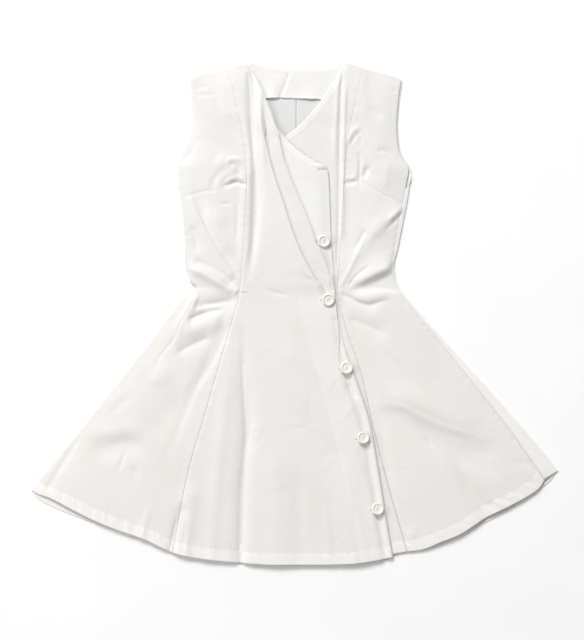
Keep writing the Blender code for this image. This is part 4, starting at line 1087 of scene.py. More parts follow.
@dataclass(frozen=True)
class EdgeBand:
    """A turned or faced edge: double cloth up to a depth, with a soft step and a rolled edge."""

    depth: float
    rise: float = 0.30
    droop: float = 0.0
    droop_reach: float = 9.0
    roll: float = 0.45

    def height(self, distance: np.ndarray) -> np.ndarray:
        """Lift of the cloth near the edge."""
        sunk = self.roll * bell(distance, 1.1) + self.droop * bell(distance, self.droop_reach)
        return self.rise * self.doubled(distance) - sunk

    def doubled(self, distance: np.ndarray) -> np.ndarray:
        """1 on the doubled edge."""
        return within(distance, self.depth, 1.2)


# ---------------------------------------------------------------- cloth pieces


def new_object(name: str, shape: bmesh.types.BMesh, finish: bpy.types.Material) -> bpy.types.Object:
    """Put a finished shape into the scene.

    Args:
        name: Name of the object.
        shape: Its mesh in metres; it is freed.
        finish: Its material.

    Returns:
        The object.
    """
    mesh = bpy.data.meshes.new(name)
    shape.to_mesh(mesh)
    shape.free()
    mesh.shade_smooth()
    mesh.materials.append(finish)
    body = bpy.data.objects.new(name, mesh)
    bpy.context.collection.objects.link(body)
    return body


@dataclass
class ClothSheet:
    """A cut piece of cloth that stands for one CAD solid.

    flat is the width and length of the cut in metres and area its flat area in square metres; neither is
    used.
    """

    name: str
    slot: Slot
    finish: bpy.types.Material
    flat: tuple[float, float]
    area: float
    rests_on: tuple[str, ...]
    wall: float = WALL

    def make(self, points: np.ndarray, doubled: np.ndarray) -> bpy.types.Object:
        """Args:
            points: Rows of columns of (across, along, height) of the cloth's inner side.
            doubled: How far the cloth is double there, from 0 to 1; on the back halves, 0 also gives the
                painted shade around the neck.

        Returns:
            The cloth object.
        """
        rows, columns = points.shape[:2]
        shape = bmesh.new()
        bmesh.ops.create_grid(shape, x_segments=columns - 1, y_segments=rows - 1, size=1.0)
        tone = shape.verts.layers.float.new("doubled")
        values = np.clip(np.broadcast_to(doubled, (rows, columns)), 0.0, 1.0).reshape(-1).tolist()
        for vertex, place, value in zip(shape.verts, (points.reshape(-1, 3) * MM).tolist(), values):
            vertex.co = place
            vertex[tone] = value
        bmesh.ops.recalc_face_normals(shape, faces=shape.faces)
        if sum(face.normal.z * face.calc_area() for face in shape.faces) < 0:
            bmesh.ops.reverse_faces(shape, faces=shape.faces)
        body = new_object(f"{self.name}_cloth", shape, self.finish)
        wall = body.modifiers.new("wall", "SOLIDIFY")
        wall.thickness = self.wall * MM
        wall.offset = 1.0
        wall.use_even_offset = False
        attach(body, "root")
        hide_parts(self.name)
        log.info("%s: %d rows by %d columns", body.name, rows, columns)
        return body


@dataclass
class FrontPanel(ClothSheet):
    """A front piece, with a princess seam along one edge and the stitched hem."""

    princess_relief: SeamRelief = SeamRelief(seed=11)
    hem_relief: HemRelief = HemRelief(seed=13)

    def seamed(self, plan: np.ndarray, height: np.ndarray, edge: Edge,
               on_seam: np.ndarray | float = 1.0) -> tuple[np.ndarray, np.ndarray]:
        """Add the relief of the princess seam and of the hem.

        Args:
            plan: The piece seen from above.
            height: Height of the cloth without them.
            edge: The edge that is sewn into the princess seam.
            on_seam: 1 in the columns beside the seam, 0 past them.

        Returns:
            The height with them, and how far the cloth is double there.
        """
        seam, seam_run = from_edge(plan, edge)
        low, hem_run = from_hem(plan)
        relief = on_seam * self.princess_relief.height(seam, seam_run) + self.hem_relief.height(low, hem_run)
        return height + relief, brightest(on_hem(low), on_seam * self.princess_relief.doubled(seam))


@dataclass
class SideFront(FrontPanel):
    """A side front, from a side seam to a princess seam, with its bust dart and armhole edge."""

    side: Edge = Edge.LEFT
    rows: tuple[int, int, int] = (76, 92, 196)
    columns: int = 112
    left_inset: float = 0.3
    lap_fade: float = 70.0
    armhole_tone: float = 0.2
    side_share: float = 0.7
    armhole: EdgeBand = EdgeBand(depth=9.0, rise=0.12, roll=0.9)
    side_relief: SeamRelief = SeamRelief(seed=12, allowance=9.0, pucker=0.3)

    def plan(self) -> np.ndarray:
        """The piece seen from above; the left one's side edge stays clear of the back's edge."""
        stations, shares = row_stations(self.rows), np.linspace(0.0, 1.0, self.columns)
        if self.side is Edge.RIGHT:
            edges = (PRINCESS_RIGHT, SIDE_RIGHT, TOP_SIDE_RIGHT, HEM_SIDE_RIGHT)
            return with_hem_rows(panel_plan(*edges, stations, shares))
        edges = (SIDE_LEFT, PRINCESS_LEFT, TOP_SIDE_LEFT, HEM_SIDE_LEFT)
        plan = with_hem_rows(panel_plan(*edges, stations, shares))
        inward = plan[:, 1] - plan[:, 0]
        inward /= np.maximum(np.linalg.norm(inward, axis=-1, keepdims=True), 0.01)
        plan[:, 0] += inward * self.left_inset
        return plan

    def build(self) -> tuple[bpy.types.Object, np.ndarray]:
        """Make the piece.

        Returns:
            The cloth and the plan points of its hem stitch line.
        """
        plan = self.plan()
        share = 1.0
        if self.side is Edge.RIGHT:
            away = np.abs(plan[..., 0] - plan[:, :1, 0])
            share = LAY.under_share + (1.0 - LAY.under_share) * smooth(away / self.lap_fade)
        height = LAY.inner_side(plan, share) + CLOTH - self.wall
        height, doubled = self.seamed(plan, height, self.side.other())
        outer, outer_run = from_edge(plan, self.side)
        above = smooth((UNDERARM - row_stations(self.rows)) / 0.03)[:, None]
        height = height + above * self.armhole.height(outer)
        height = height + (1.0 - above) * self.side_relief.height(outer, outer_run) * self.side_share
        doubled = brightest(doubled, self.armhole_tone * above * self.armhole.doubled(outer))
        return self.make(joined(plan, height), doubled), hem_stitch_line(plan)


@dataclass
class UnderFront(FrontPanel):
    """The centre front that the closing covers, with its faced neckline edge."""

    rows: tuple[int, int, int] = (70, 70, 110)
    columns: int = 84
    neckline: EdgeBand = EdgeBand(depth=11.0)
    hem_relief: HemRelief = HemRelief(seed=22)

    def build(self) -> bpy.types.Object:
        """Make the piece and return its cloth."""
        stations, shares = row_stations(self.rows), np.linspace(0.0, 1.0, self.columns)
        plan = with_hem_rows(panel_plan(UNDER_EDGE, PRINCESS_RIGHT, TOP_UNDER, HEM_UNDER, stations, shares))
        cover = long_edge(CLOSING_EDGE, stations)[:, :1]
        bare = np.where(stations[:, None] > UNDERARM, smooth((plan[..., 0] - cover - 1.0) / 5.0), 1.0)
        height = LAY.inner_side(plan, LAY.under_share, shown=bare) + CLOTH - self.wall
        height, doubled = self.seamed(plan, height, Edge.RIGHT)
        edge, _ = from_edge(plan, Edge.LEFT)
        height = height + self.neckline.height(edge)
        return self.make(joined(plan, height), brightest(doubled, self.neckline.doubled(edge)))


# ---------------------------------------------------------------- pleats of the over-front


@dataclass(frozen=True)
class Pleat:
    """One long pleat of the over-front.

    edge is the fold that shows, tip its share of the opened cloth, and the rest are the stations
    where it starts and ends and over how many stations it grows and sinks.
    """

    name: str
    edge: tuple[Place, ...]
    tip: float
    starts: float
    grows: float
    ends: float
    sinks: float

    def folded(self, stations: np.ndarray) -> np.ndarray:
        """How far the pleat is folded at each station, from 0 to 1."""
        return between(stations, self.starts, self.grows, self.ends, self.sinks)

    def edge_across(self, stations: np.ndarray) -> np.ndarray:
        """Where the pleat's edge lies at each station."""
        stays = np.clip(stations, self.edge[0].station, self.edge[-1].station)
        return long_edge(self.edge, stays)[:, 0]


@dataclass(frozen=True)
class Column:
    """A line of the over-front across its pleats.

    opened is the share of the cloth where no pleat is folded, inward the distance to the left of
    the pleat's edge (None lies between its neighbours) and height the rise where it is folded.
    """

    opened: float
    follows: str
    inward: float | None
    height: float


PLEAT_A = places(
    (0.30, -72, 404), (0.45, -66, 375), (0.62, -59, 345), (0.75, -51, 314), (0.98, -40, 271),
    (1.28, -19, 206), (1.48, -5, 156), (1.64, 10, 121), (1.82, 33, 82), (1.92, 45, 62), (2.00, 53, 43),
    (2.20, 58, -42),
)
PLEAT_B = places(
    (0.30, -61, 404), (0.45, -52, 375), (0.62, -37, 343), (0.71, -27, 323), (0.90, -17, 281),
    (1.10, -3, 234), (1.30, 16, 195), (1.46, 30, 158), (1.58, 40, 132), (1.70, 54, 110), (1.80, 63, 94),
    (1.90, 67, 70), (2.00, 69, 42), (2.20, 78, -45),
)
PLEATS = (
    Pleat("a", PLEAT_A, 0.44, 0.24, 0.74, 2.06, 0.30),
    Pleat("b", PLEAT_B, 0.72, 0.40, 0.50, 2.02, 0.34),
)
PLEAT_COLUMNS = (
    Column(0.00, "seam", 0.0, 0.0),
    Column(0.11, "a", None, 0.9),
    Column(0.22, "a", None, 2.2),
    Column(0.32, "a", PLEAT_UNDER + 3.5, 3.7),
    Column(0.37, "a", 10.0, 5.4),
    Column(0.42, "a", TURN, 6.4),
    Column(0.44, "a", CLOTH, 6.0),
    Column(0.46, "a", TURN, 5.6),
    Column(0.49, "a", PLEAT_UNDER * 0.6, 4.1),
    Column(0.53, "a", PLEAT_UNDER - 1.3, 3.0),
    Column(0.54, "a", PLEAT_UNDER, 1.7),
    Column(0.55, "a", PLEAT_UNDER - 1.3, 0.4),
    Column(0.63, "b", 25.0, 3.1),
    Column(0.67, "b", 12.0, 4.0),
    Column(0.70, "b", TURN, 4.1),
    Column(0.72, "b", CLOTH, 3.5),
    Column(0.74, "b", TURN, 3.1),
    Column(0.78, "b", 20.0, 2.6),
    Column(0.79, "b", 21.3, 1.3),
    Column(0.80, "b", 20.0, 0.0),
    Column(0.87, "b", None, 0.0),
    Column(0.94, "b", None, 0.0),
    Column(1.00, "edge", 0.0, 0.0),
)


@dataclass
class OverFront(FrontPanel):
    """The centre front that laps over, with two long pleats, a faced edge and a curved neckline."""

    rows: tuple[int, int, int] = (86, 96, 166)
    column_width: float = 3.3
    full_width: float = 400.0
    opened_width: float = 60.0
    stands: float = 0.50
    near_pleats: tuple[float, float, float, float] = (0.22, 0.22, 2.60, 0.50)
    neck_ends: float = 0.99
    pleats_end: float = 2.0
    seam_share: float = 0.20
    past_pleats: float = 0.70
    edge_share: float = 0.86
    button_gap: float = 0.15
    facing_rise: float = 0.25
    skirt_facing_tone: float = 0.40
    bodice_facing_tone: float = 0.75
    neckline: EdgeBand = EdgeBand(depth=13.5, rise=0.35, droop=1.6)
    closing: EdgeBand = EdgeBand(depth=5.0, rise=0.15, droop=4.0, droop_reach=14.0, roll=0.3)
    hem_relief: HemRelief = HemRelief(seed=32)
    buttons: tuple["Button", ...] = ()

    def folded_columns(self, stations: np.ndarray) -> tuple[np.ndarray, np.ndarray]:
        """Plan and rise of the named columns.

        Args:
            stations: Stations of the rows.

        Returns:
            The plan points and the rise above the lay, row by row.
        """
        opened = np.array([column.opened for column in PLEAT_COLUMNS])
        plan = panel_plan(PRINCESS_LEFT, CLOSING_EDGE, TOP_OVER, HEM_OVER, stations, opened)
        height = np.zeros(plan.shape[:2])
        near = between(stations, *self.near_pleats)
        for pleat in PLEATS:
            folded = pleat.folded(stations)
            edge = pleat.edge_across(stations)
            turned_back = np.clip((folded - self.stands) / (1.0 - self.stands), 0.0, 1.0) ** 1.5
            sideways = smooth((folded - self.stands) / 0.35)
            for index, column in enumerate(PLEAT_COLUMNS):
                if column.follows != pleat.name:
                    continue
                height[:, index] = column.height * smooth(folded / self.stands)
                if column.inward is None:
                    continue
                depth = np.minimum(column.inward, 1.0 + column.inward * (0.15 + 0.85 * turned_back))
                flat = edge + (column.opened - pleat.tip) * self.opened_width
                place = (1 - sideways) * flat + sideways * (edge - depth)
                plan[:, index, 0] += near * (place - plan[:, index, 0])
        held = [index for index, column in enumerate(PLEAT_COLUMNS) if column.inward is not None]
        for index in sorted(set(range(len(PLEAT_COLUMNS))) - set(held)):
            before = max(place for place in held if place < index)
            after = min(place for place in held if place > index)
            share = (opened[index] - opened[before]) / (opened[after] - opened[before])
            plan[:, index, 0] = (1 - share) * plan[:, before, 0] + share * plan[:, after, 0]
        return plan, height

    def fine_shares(self) -> np.ndarray:
        """Shares of the fine columns, at least three between neighbouring named ones."""
        opened = [column.opened for column in PLEAT_COLUMNS]
        steps = []
        for start, end in zip(opened, opened[1:]):
            count = max(3, math.ceil((end - start) * self.full_width / self.column_width))
            steps.append(np.linspace(start, end, count, endpoint=False))
        return np.concatenate(steps + [[1.0]])

    def under_buttons(self, plan: np.ndarray, height: np.ndarray) -> np.ndarray:
        """Press the cloth down where a button lies on it."""
        for button in self.buttons:
            offset = plan - np.array([button.across, button.along])
            distance = np.linalg.norm(offset, axis=-1)
            pressed = np.minimum(height, button.underside(offset) - self.wall - self.button_gap)
            height = height + (pressed - height) * smooth((17.0 - distance) / 5.0)
        return height

    def build(self) -> tuple[bpy.types.Object, np.ndarray, np.ndarray]:
        """Make the piece.

        Returns:
            The cloth, the plan points of its hem stitch line, and its whole plan.
        """
        stations = row_stations(self.rows)
        named_plan, named_height = self.folded_columns(stations)
        opened = np.array([column.opened for column in PLEAT_COLUMNS])
        fine = self.fine_shares()
        across, along, rise = (through(opened, named.T, fine).T
                               for named in (named_plan[..., 0], named_plan[..., 1], named_height))
        plan = with_hem_rows(np.stack([across, along], axis=-1))
        edge, _ = from_edge(plan, Edge.RIGHT)
        neck = smooth((self.neck_ends - stations) / 0.04)[:, None]
        bodice = smooth((self.pleats_end - stations) / 0.1)[:, None]
        beside = smooth((fine - self.edge_share) / 0.03)
        on_seam = smooth((self.seam_share - fine) / 0.04)
        past_pleats = smooth((fine - self.past_pleats) / 0.02)
        on_facing = facing_share(plan)
        height = LAY.inner_side(plan, least=1.0) + rise + CLOTH - self.wall
        height, doubled = self.seamed(plan, height, Edge.LEFT, on_seam)
        band = neck * self.neckline.height(edge) + (1 - neck) * self.closing.height(edge)
        height = self.under_buttons(plan, height + beside * band) + self.facing_rise * on_facing
        tone = self.skirt_facing_tone * (1 - bodice) + self.bodice_facing_tone * bodice * past_pleats
        doubled = brightest(doubled, on_facing * tone, neck * beside * self.neckline.doubled(edge))
        return self.make(joined(plan, height), doubled), hem_stitch_line(plan), plan


# ---------------------------------------------------------------- back and facing


@dataclass
class BackHalf(ClothSheet):
    """Half of the back, lying on the surface; the right one rolls up to the side seam."""

    side: Edge = Edge.LEFT
    rows: tuple[int, int, int] = (56, 60, 100)
    columns: int = 70
    clearance: float = 0.3
    roll_radius: float = 1.25
    roll_starts: float = 1.04
    roll_folded: float = 1.16
    roll_cloth: float = 5.6
    roll_steps: int = 9
    seam_relief: SeamRelief = SeamRelief(seed=41, groove=0.04, allowance_rise=0.10, pucker=0.08)

    def curled(self, length: float, bend: np.ndarray) -> tuple[np.ndarray, np.ndarray]:
        """Distance outward and height of a point on cloth that curls up at its edge."""
        angle = np.minimum(length / self.roll_radius, bend)
        straight = length - self.roll_radius * angle
        outward = self.roll_radius * np.sin(angle) + straight * np.cos(angle)
        return outward, self.roll_radius * (1.0 - np.cos(angle)) + straight * np.sin(angle)

    def roll_sections(self) -> list[tuple[float, float, float, float]]:
        """Steps round the roll: distance inside the outline, share to the seam, rise and cloth."""
        turned = []
        for angle in np.linspace(-math.pi / 2, math.pi / 2, self.roll_steps):
            turned.append((1.0 - math.cos(angle), 0.0, 0.5 + 0.5 * math.sin(angle)))
        turned += [(1.0, share, 1.0) for share in (0.2, 0.45, 0.7, 1.0)]
        lengths = np.linspace(0.0, self.roll_cloth, len(turned))
        return [(*step, float(length)) for step, length in zip(turned, lengths)]

    def rolled(self, plan: np.ndarray, bottom: np.ndarray, stations: np.ndarray) -> np.ndarray:
        """Add the roll up to the side front's seam to the flat half.

        Args:
            plan: The flat half seen from above.
            bottom: The same with its heights.
            stations: Stations of the rows.

        Returns:
            The points of the half with the roll beside it.
        """
        outline = plan[:, -1].copy()
        outward = outline - long_edge(SIDE_RIGHT, stations)
        width = np.linalg.norm(outward, axis=-1, keepdims=True)
        outward /= width
        rolling = (stations - self.roll_starts) / (self.roll_folded - self.roll_starts)
        bend = math.pi * np.clip(rolling, 0.0, 1.0)[:, None]
        reach = np.where(bend > math.pi / 2, self.roll_radius, self.curled(self.roll_cloth, bend)[0])
        folded = (stations >= self.roll_folded)[:, None]
        steps = []
        for inside, share, rise, cloth in self.roll_sections():
            place = outline - outward * (inside + share * (width - SEAM_GAP / 2 - inside))
            top = (LAY.inner_side(place) + CLOTH)[:, None]
            out, up = self.curled(cloth, bend)
            place = np.where(folded, place, outline - outward * (reach - out))
            steps.append(np.concatenate([place, np.where(folded, rise * top, up)], axis=-1))
        bottom[:, -1] = steps[0]
        return np.concatenate([bottom, np.stack(steps[1:], axis=1)], axis=1)

    def build(self) -> bpy.types.Object:
        """Make the piece and return its cloth."""
        stations, shares = row_stations(self.rows), np.linspace(0.0, 1.0, self.columns)
        edges = (BACK_SIDE_LEFT, CENTRE_BACK, TOP_BACK_LEFT, HEM_BACK_LEFT)
        if self.side is Edge.RIGHT:
            edges = (CENTRE_BACK, BACK_SIDE_RIGHT, TOP_BACK_RIGHT, HEM_BACK_RIGHT)
        plan = with_hem_rows(panel_plan(*edges, stations, shares))
        seam, seam_run = from_edge(plan, self.side.other())
        creases = total_lift(BACK_FOLDS, plan) + self.seam_relief.height(seam, seam_run)
        points = joined(plan, self.clearance + np.clip(creases, -0.25, 0.30))
        low, _ = from_hem(plan)
        # Around the neck the back keeps its darker single colour, which is painted shade for the back seen
        # deep in the neckline. Beside the neck and under the skirt it takes the doubled colour.
        beside_neck = smooth((np.abs(plan[..., 0]) - 110.0) / 40.0)
        under_skirt = smooth((60.0 - plan[..., 1]) / 60.0)
        doubled = brightest(on_hem(low), beside_neck, under_skirt)
        if self.side is Edge.RIGHT:
            points = self.rolled(plan, points, stations)
            extra = points.shape[1] - plan.shape[1]
            doubled = np.concatenate([doubled, np.repeat(doubled[:, -1:], extra, axis=1)], axis=1)
        return self.make(points, doubled)


@dataclass
class NeckFacing(ClothSheet):
    """The curved strip inside the back neck, with a free lower edge that lifts and waves.

    A wave has its middle, its reach and its rise, and the loose wave lies beside the crease.
    """

    columns: int = 150
    rows_deep: int = 34
    waves: tuple[tuple[float, float, float], ...] = ((-41.0, 13.0, 3.8), (29.0, 20.0, 3.6))
    loose_wave: tuple[float, float, float] = (-20.0, 26.0, 1.3)
    sway: float = 0.5
    turned_rise: float = 0.2
    single_tone: float = 0.7

    def build(self) -> bpy.types.Object:
        """Make the piece and return its cloth."""
        shares = np.linspace(0.0, 1.0, self.columns)
        depth = np.linspace(0.0, 1.0, self.rows_deep)[:, None, None]
        plan = (1 - depth) * cross_edge(FACING_NECK, shares) + depth * cross_edge(FACING_FREE, shares)
        down, across = depth[..., 0], plan[..., 0]
        lifted = sum(rise * bell(across, reach, middle) for middle, reach, rise in self.waves)
        plan[..., 1] += self.sway * Ripple(51, 14.0, 34.0).at(across) * down**3
        middle, reach, rise = self.loose_wave
        loose = rise * bell(across, reach, middle) * smooth(down * 3.0)
        turned = smooth((down - 0.90) / 0.03)
        height = CLOTH + LAYER_GAP - 0.1 + lifted * down**2.5 + loose + total_lift([FACING_CREASE], plan)
        tone = self.single_tone + (1.0 - self.single_tone) * turned
        return self.make(joined(plan, height + self.turned_rise * turned), tone)


# ---------------------------------------------------------------- buttons and sewing


class TopCloth:
    """The uppermost cloth at any point, found by looking straight down on the laid pieces."""

    def __init__(self, pieces: Sequence[bpy.types.Object]) -> None:
        """Take in the finished cloth pieces."""
        bpy.context.view_layer.update()
        graph = bpy.context.evaluated_depsgraph_get()
        self.trees = [BVHTree.FromObject(piece, graph) for piece in pieces]

    def at(self, across: float, along: float, above: float = 0.2) -> tuple[Vector, Vector] | None:
        """Find the top of the cloth.

        Args:
            across: Place in millimetres.
            along: Place in millimetres.
            above: Height in metres that the look down starts from.

        Returns:
            The point in metres and the cloth's normal there, or None beside the dress.
        """
        start = Vector((across * MM, along * MM, above))
        best = None
        for tree in self.trees:
            place, normal, _, _ = tree.ray_cast(start, DOWN)
            if place is not None and (best is None or place.z > best[0].z):
                best = (place, normal if normal.z > 0 else -normal)
        return best

    def on_top(self, places: Sequence[tuple[float, float]], lift: float) -> list[Vector]:
        """Points in metres on the cloth at plan places, lifted off it by millimetres.

        The list is empty where one of the places lies beside the dress.
        """
        found = [self.at(*map(float, place)) for place in places]
        return [] if None in found else [place + normal * lift * MM for place, normal in found]


@dataclass
class Sewing:
    """Stitches of one finish, gathered into one piece."""

    name: str
    slot: Slot
    finish: bpy.types.Material
    thread: float = 0.42
    shape: bmesh.types.BMesh = field(default_factory=bmesh.new)

    def bars(self, places: Sequence[Vector], thickness: float) -> None:
        """Add rounded stitches from each place to the next one.

        Args:
            places: Points in metres.
            thickness: Thread thickness in millimetres.
        """
        radius = thickness * MM / 2
        for start, end in zip(places, places[1:]):
            way = end - start
            turn = way.to_track_quat("Z", "Y").to_matrix().to_4x4()
            size = Matrix.Diagonal((radius, radius, way.length / 2 + radius * 0.6, 1.0))
            matrix = Matrix.Translation((start + end) / 2) @ turn @ size
            bmesh.ops.create_uvsphere(self.shape, u_segments=6, v_segments=4, radius=1.0, matrix=matrix)

    def along(self, cloth: TopCloth, line: np.ndarray, length: float = 2.3, period: float = 2.9) -> None:
        """Sew a row of lockstitches along a line.

        Args:
            cloth: The cloth that is sewn.
            line: Plan points of the line.
            length: Length of one stitch in millimetres.
            period: Distance from stitch to stitch in millimetres.
        """
        run = run_along(line)
        for start in np.arange(period / 2, run[-1] - period, period):
            ends = cloth.on_top([(np.interp(at, run, line[:, 0]), np.interp(at, run, line[:, 1]))
                                 for at in (start, start + length)], 0.04)
            if ends and (ends[1] - ends[0]).length < 2.0 * length * MM:
                self.bars(ends, self.thread)

    def finished(self) -> bpy.types.Object:
        body = new_object(self.name, self.shape, self.finish)
        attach(body, "root")
        log.info("%s: %d faces", self.name, len(body.data.polygons))
        return body


@dataclass(frozen=True)
class Button:
    """A round button with a wide rounded rim, a round well and two holes, and where it lies."""

    name: str
    across: float
    along: float
    lean_across: float
    lean_along: float
    turn: float
    lift: float = 0.0
    diameter: float = 23.0
    hole_spacing: float = 4.4
    hole_width: float = 1.9
    strand: float = 0.5

    def profile(self) -> np.ndarray:
        """Rounded cross-section as rows of (radius, height) in millimetres."""
        corners = np.array((
            (0.0, 0.0), (6.0, 0.0), (8.6, 0.05), (10.4, 0.65), (self.diameter / 2, 2.0), (11.0, 3.1),
            (10.0, 3.7), (9.0, 3.85), (8.3, 3.5), (7.7, 2.85), (7.1, 2.35), (6.2, 2.15), (3.0, 2.1),
            (0.0, 2.1),
        ))
        return through(np.arange(len(corners), dtype=float), corners, np.linspace(0, len(corners) - 1, 46))

    def underside(self, offset: np.ndarray) -> np.ndarray:
        """Height of the button's flat underside at offsets in plan from its centre."""
        return self.height() + self.lean(offset)

    def lean(self, offset: np.ndarray) -> np.ndarray:
        """Rise of the leaning button at offsets in plan from its centre."""
        return offset[..., 1] * math.tan(self.lean_across) - offset[..., 0] * math.tan(self.lean_along)

    def height(self) -> float:
        """Height of the middle of the underside, on the solid cloth that the button rests on."""
        angles = np.linspace(0.0, 2 * math.pi, 16, endpoint=False)
        reach = np.array([[0.0], [0.5], [1.0]]) * self.diameter / 2
        offset = np.stack([reach * np.cos(angles), reach * np.sin(angles)], axis=-1)
        top = SOLID_LAY.inner_side(offset + np.array([self.across, self.along])) + CLOTH
        return float((top - self.lean(offset)).max()) + LAYER_GAP + self.lift

    def placing(self) -> Matrix:
        """Matrix from the button's own frame to the dress."""
        turn = Euler((self.lean_across, self.lean_along, self.turn)).to_matrix().to_4x4()
        return Matrix.Translation((self.across * MM, self.along * MM, self.height() * MM)) @ turn

    def turned(self, profile: np.ndarray, steps: int) -> bmesh.types.BMesh:
        """Spin a profile into a closed solid."""
        shape = bmesh.new()
        ring = [shape.verts.new((radius * MM, 0.0, height * MM)) for radius, height in profile]
        edges = [shape.edges.new(pair) for pair in zip(ring, ring[1:])]
        bmesh.ops.spin(shape, geom=ring + edges, cent=(0, 0, 0), axis=(0, 0, 1), angle=2 * math.pi,
                       steps=steps, use_merge=True)
        bmesh.ops.remove_doubles(shape, verts=shape.verts, dist=0.005 * MM)
        bmesh.ops.recalc_face_normals(shape, faces=shape.faces)
        return shape

    def cutter(self, side: int, finish: bpy.types.Material) -> bpy.types.Object:
        """A round rod that cuts the hole on one side of the middle."""
        radius = self.hole_width / 2
        shape = self.turned(np.array(((0.0, -1.0), (radius, -1.0), (radius, 3.0), (0.0, 3.0))), 20)
        bmesh.ops.translate(shape, verts=shape.verts, vec=(side * self.hole_spacing / 2 * MM, 0.0, 0.0))
        return new_object(f"{self.name}_cutter", shape, finish)

    def build(self, finish: bpy.types.Material) -> bpy.types.Object:
        """Make the button with its two holes and put it in its place."""
        body = new_object(f"{self.name}_disc", self.turned(self.profile(), 56), finish)
        cutters = [self.cutter(side, finish) for side in (-1, 1)]
        for cutter in cutters:
            cut = body.modifiers.new("hole", "BOOLEAN")
            cut.operation = "DIFFERENCE"
            cut.object = cutter
        bpy.context.view_layer.update()
        graph = bpy.context.evaluated_depsgraph_get()
        pierced = bpy.data.meshes.new_from_object(body.evaluated_get(graph), depsgraph=graph)
        body.modifiers.clear()
        body.data = pierced
        for cutter in cutters:
            bpy.data.objects.remove(cutter, do_unlink=True)
        pierced.transform(self.placing())
        pierced.update()
        pierced.shade_smooth()
        pierced.set_sharp_from_angle(angle=math.radians(50))
        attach(body, "root")
        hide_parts(self.name)
        log.info("%s: %d faces", body.name, len(pierced.polygons))
        return body

    def sew_on(self, sewing: Sewing) -> None:
        """Lay the strands of thread from hole to hole in the well."""
        place, half, sunk = self.placing(), self.hole_spacing / 2, 1.2
        for offset, top in ((-0.3, 2.25), (0.3, 2.3)):
            points = [(-half, offset * 0.6, sunk), (-half * 0.7, offset, top), (half * 0.7, offset, top),
                      (half, offset * 0.6, sunk)]
            sewing.bars([place @ (Vector(point) * MM) for point in points], self.strand)


@dataclass(frozen=True)
class Buttonhole:
    """A worked buttonhole: satin stitches, as thick as their pitch, round a slit, with barred ends."""

    across: float
    along: float
    angle: float = 0.0
    length: float = 25.0
    width: float = 4.4
    pitch: float = 0.62
    slit: float = 0.34
    end_bars: int = 4

    def plan(self, run: float, off: float) -> tuple[float, float]:
        """Plan point from the distance along and beside the slit."""
        cos, sin = math.cos(self.angle), math.sin(self.angle)
        return self.across + run * cos - off * sin, self.along + run * sin + off * cos

    def sew(self, sewing: Sewing, slits: Sewing, cloth: TopCloth) -> None:
        """Sew the hole on the cloth.

        Args:
            sewing: The piece that takes the thread.
            slits: The piece that takes the dark slit, painted shade in the opening.
            cloth: The cloth under it.
        """
        half, reach = self.length / 2, self.width / 2
        bars = [((run, side * 0.35), (run, side * reach)) for side in (-1, 1)
                for run in np.arange(-half, half + 0.01, self.pitch)]
        bars += [((side * (half + 0.5 * step), -reach), (side * (half + 0.5 * step), reach))
                 for side in (-1, 1) for step in range(self.end_bars)]
        for bar in bars:
            sewing.bars(cloth.on_top([self.plan(*point) for point in bar], 0.12), self.pitch)
        # The slit is drawn as thin dark bars: painted shade in the opening between the stitched sides.
        middle = [self.plan(run, 0.0) for run in (-half + 0.8, 0.0, half - 0.8)]
        slits.bars(cloth.on_top(middle, 0.05), self.slit)


@dataclass(frozen=True)
class ThreadLoop:
    """A small loop of thread for a tie, standing on the waist of the left princess seam."""

    start: Point = Point(-99.0, 41.0)
    end: Point = Point(-87.0, 41.5)
    bow: float = 1.2
    foot: float = 0.2
    height: float = 0.9
    thickness: float = 0.9
    steps: int = 12

    def sew(self, sewing: Sewing, cloth: TopCloth) -> None:
        """Sew the loop as short joined pieces of thick thread."""
        places = []
        for share in np.linspace(0.0, 1.0, self.steps):
            arch = math.sin(math.pi * share)
            across = self.start.across + share * (self.end.across - self.start.across)
            along = self.start.along + share * (self.end.along - self.start.along)
            found = cloth.at(across, along + self.bow * arch)
            if found is None:
                return
            places.append(found[0] - DOWN * (self.foot + self.height * arch) * MM)
        sewing.bars(places, self.thickness)


# ---------------------------------------------------------------- the room


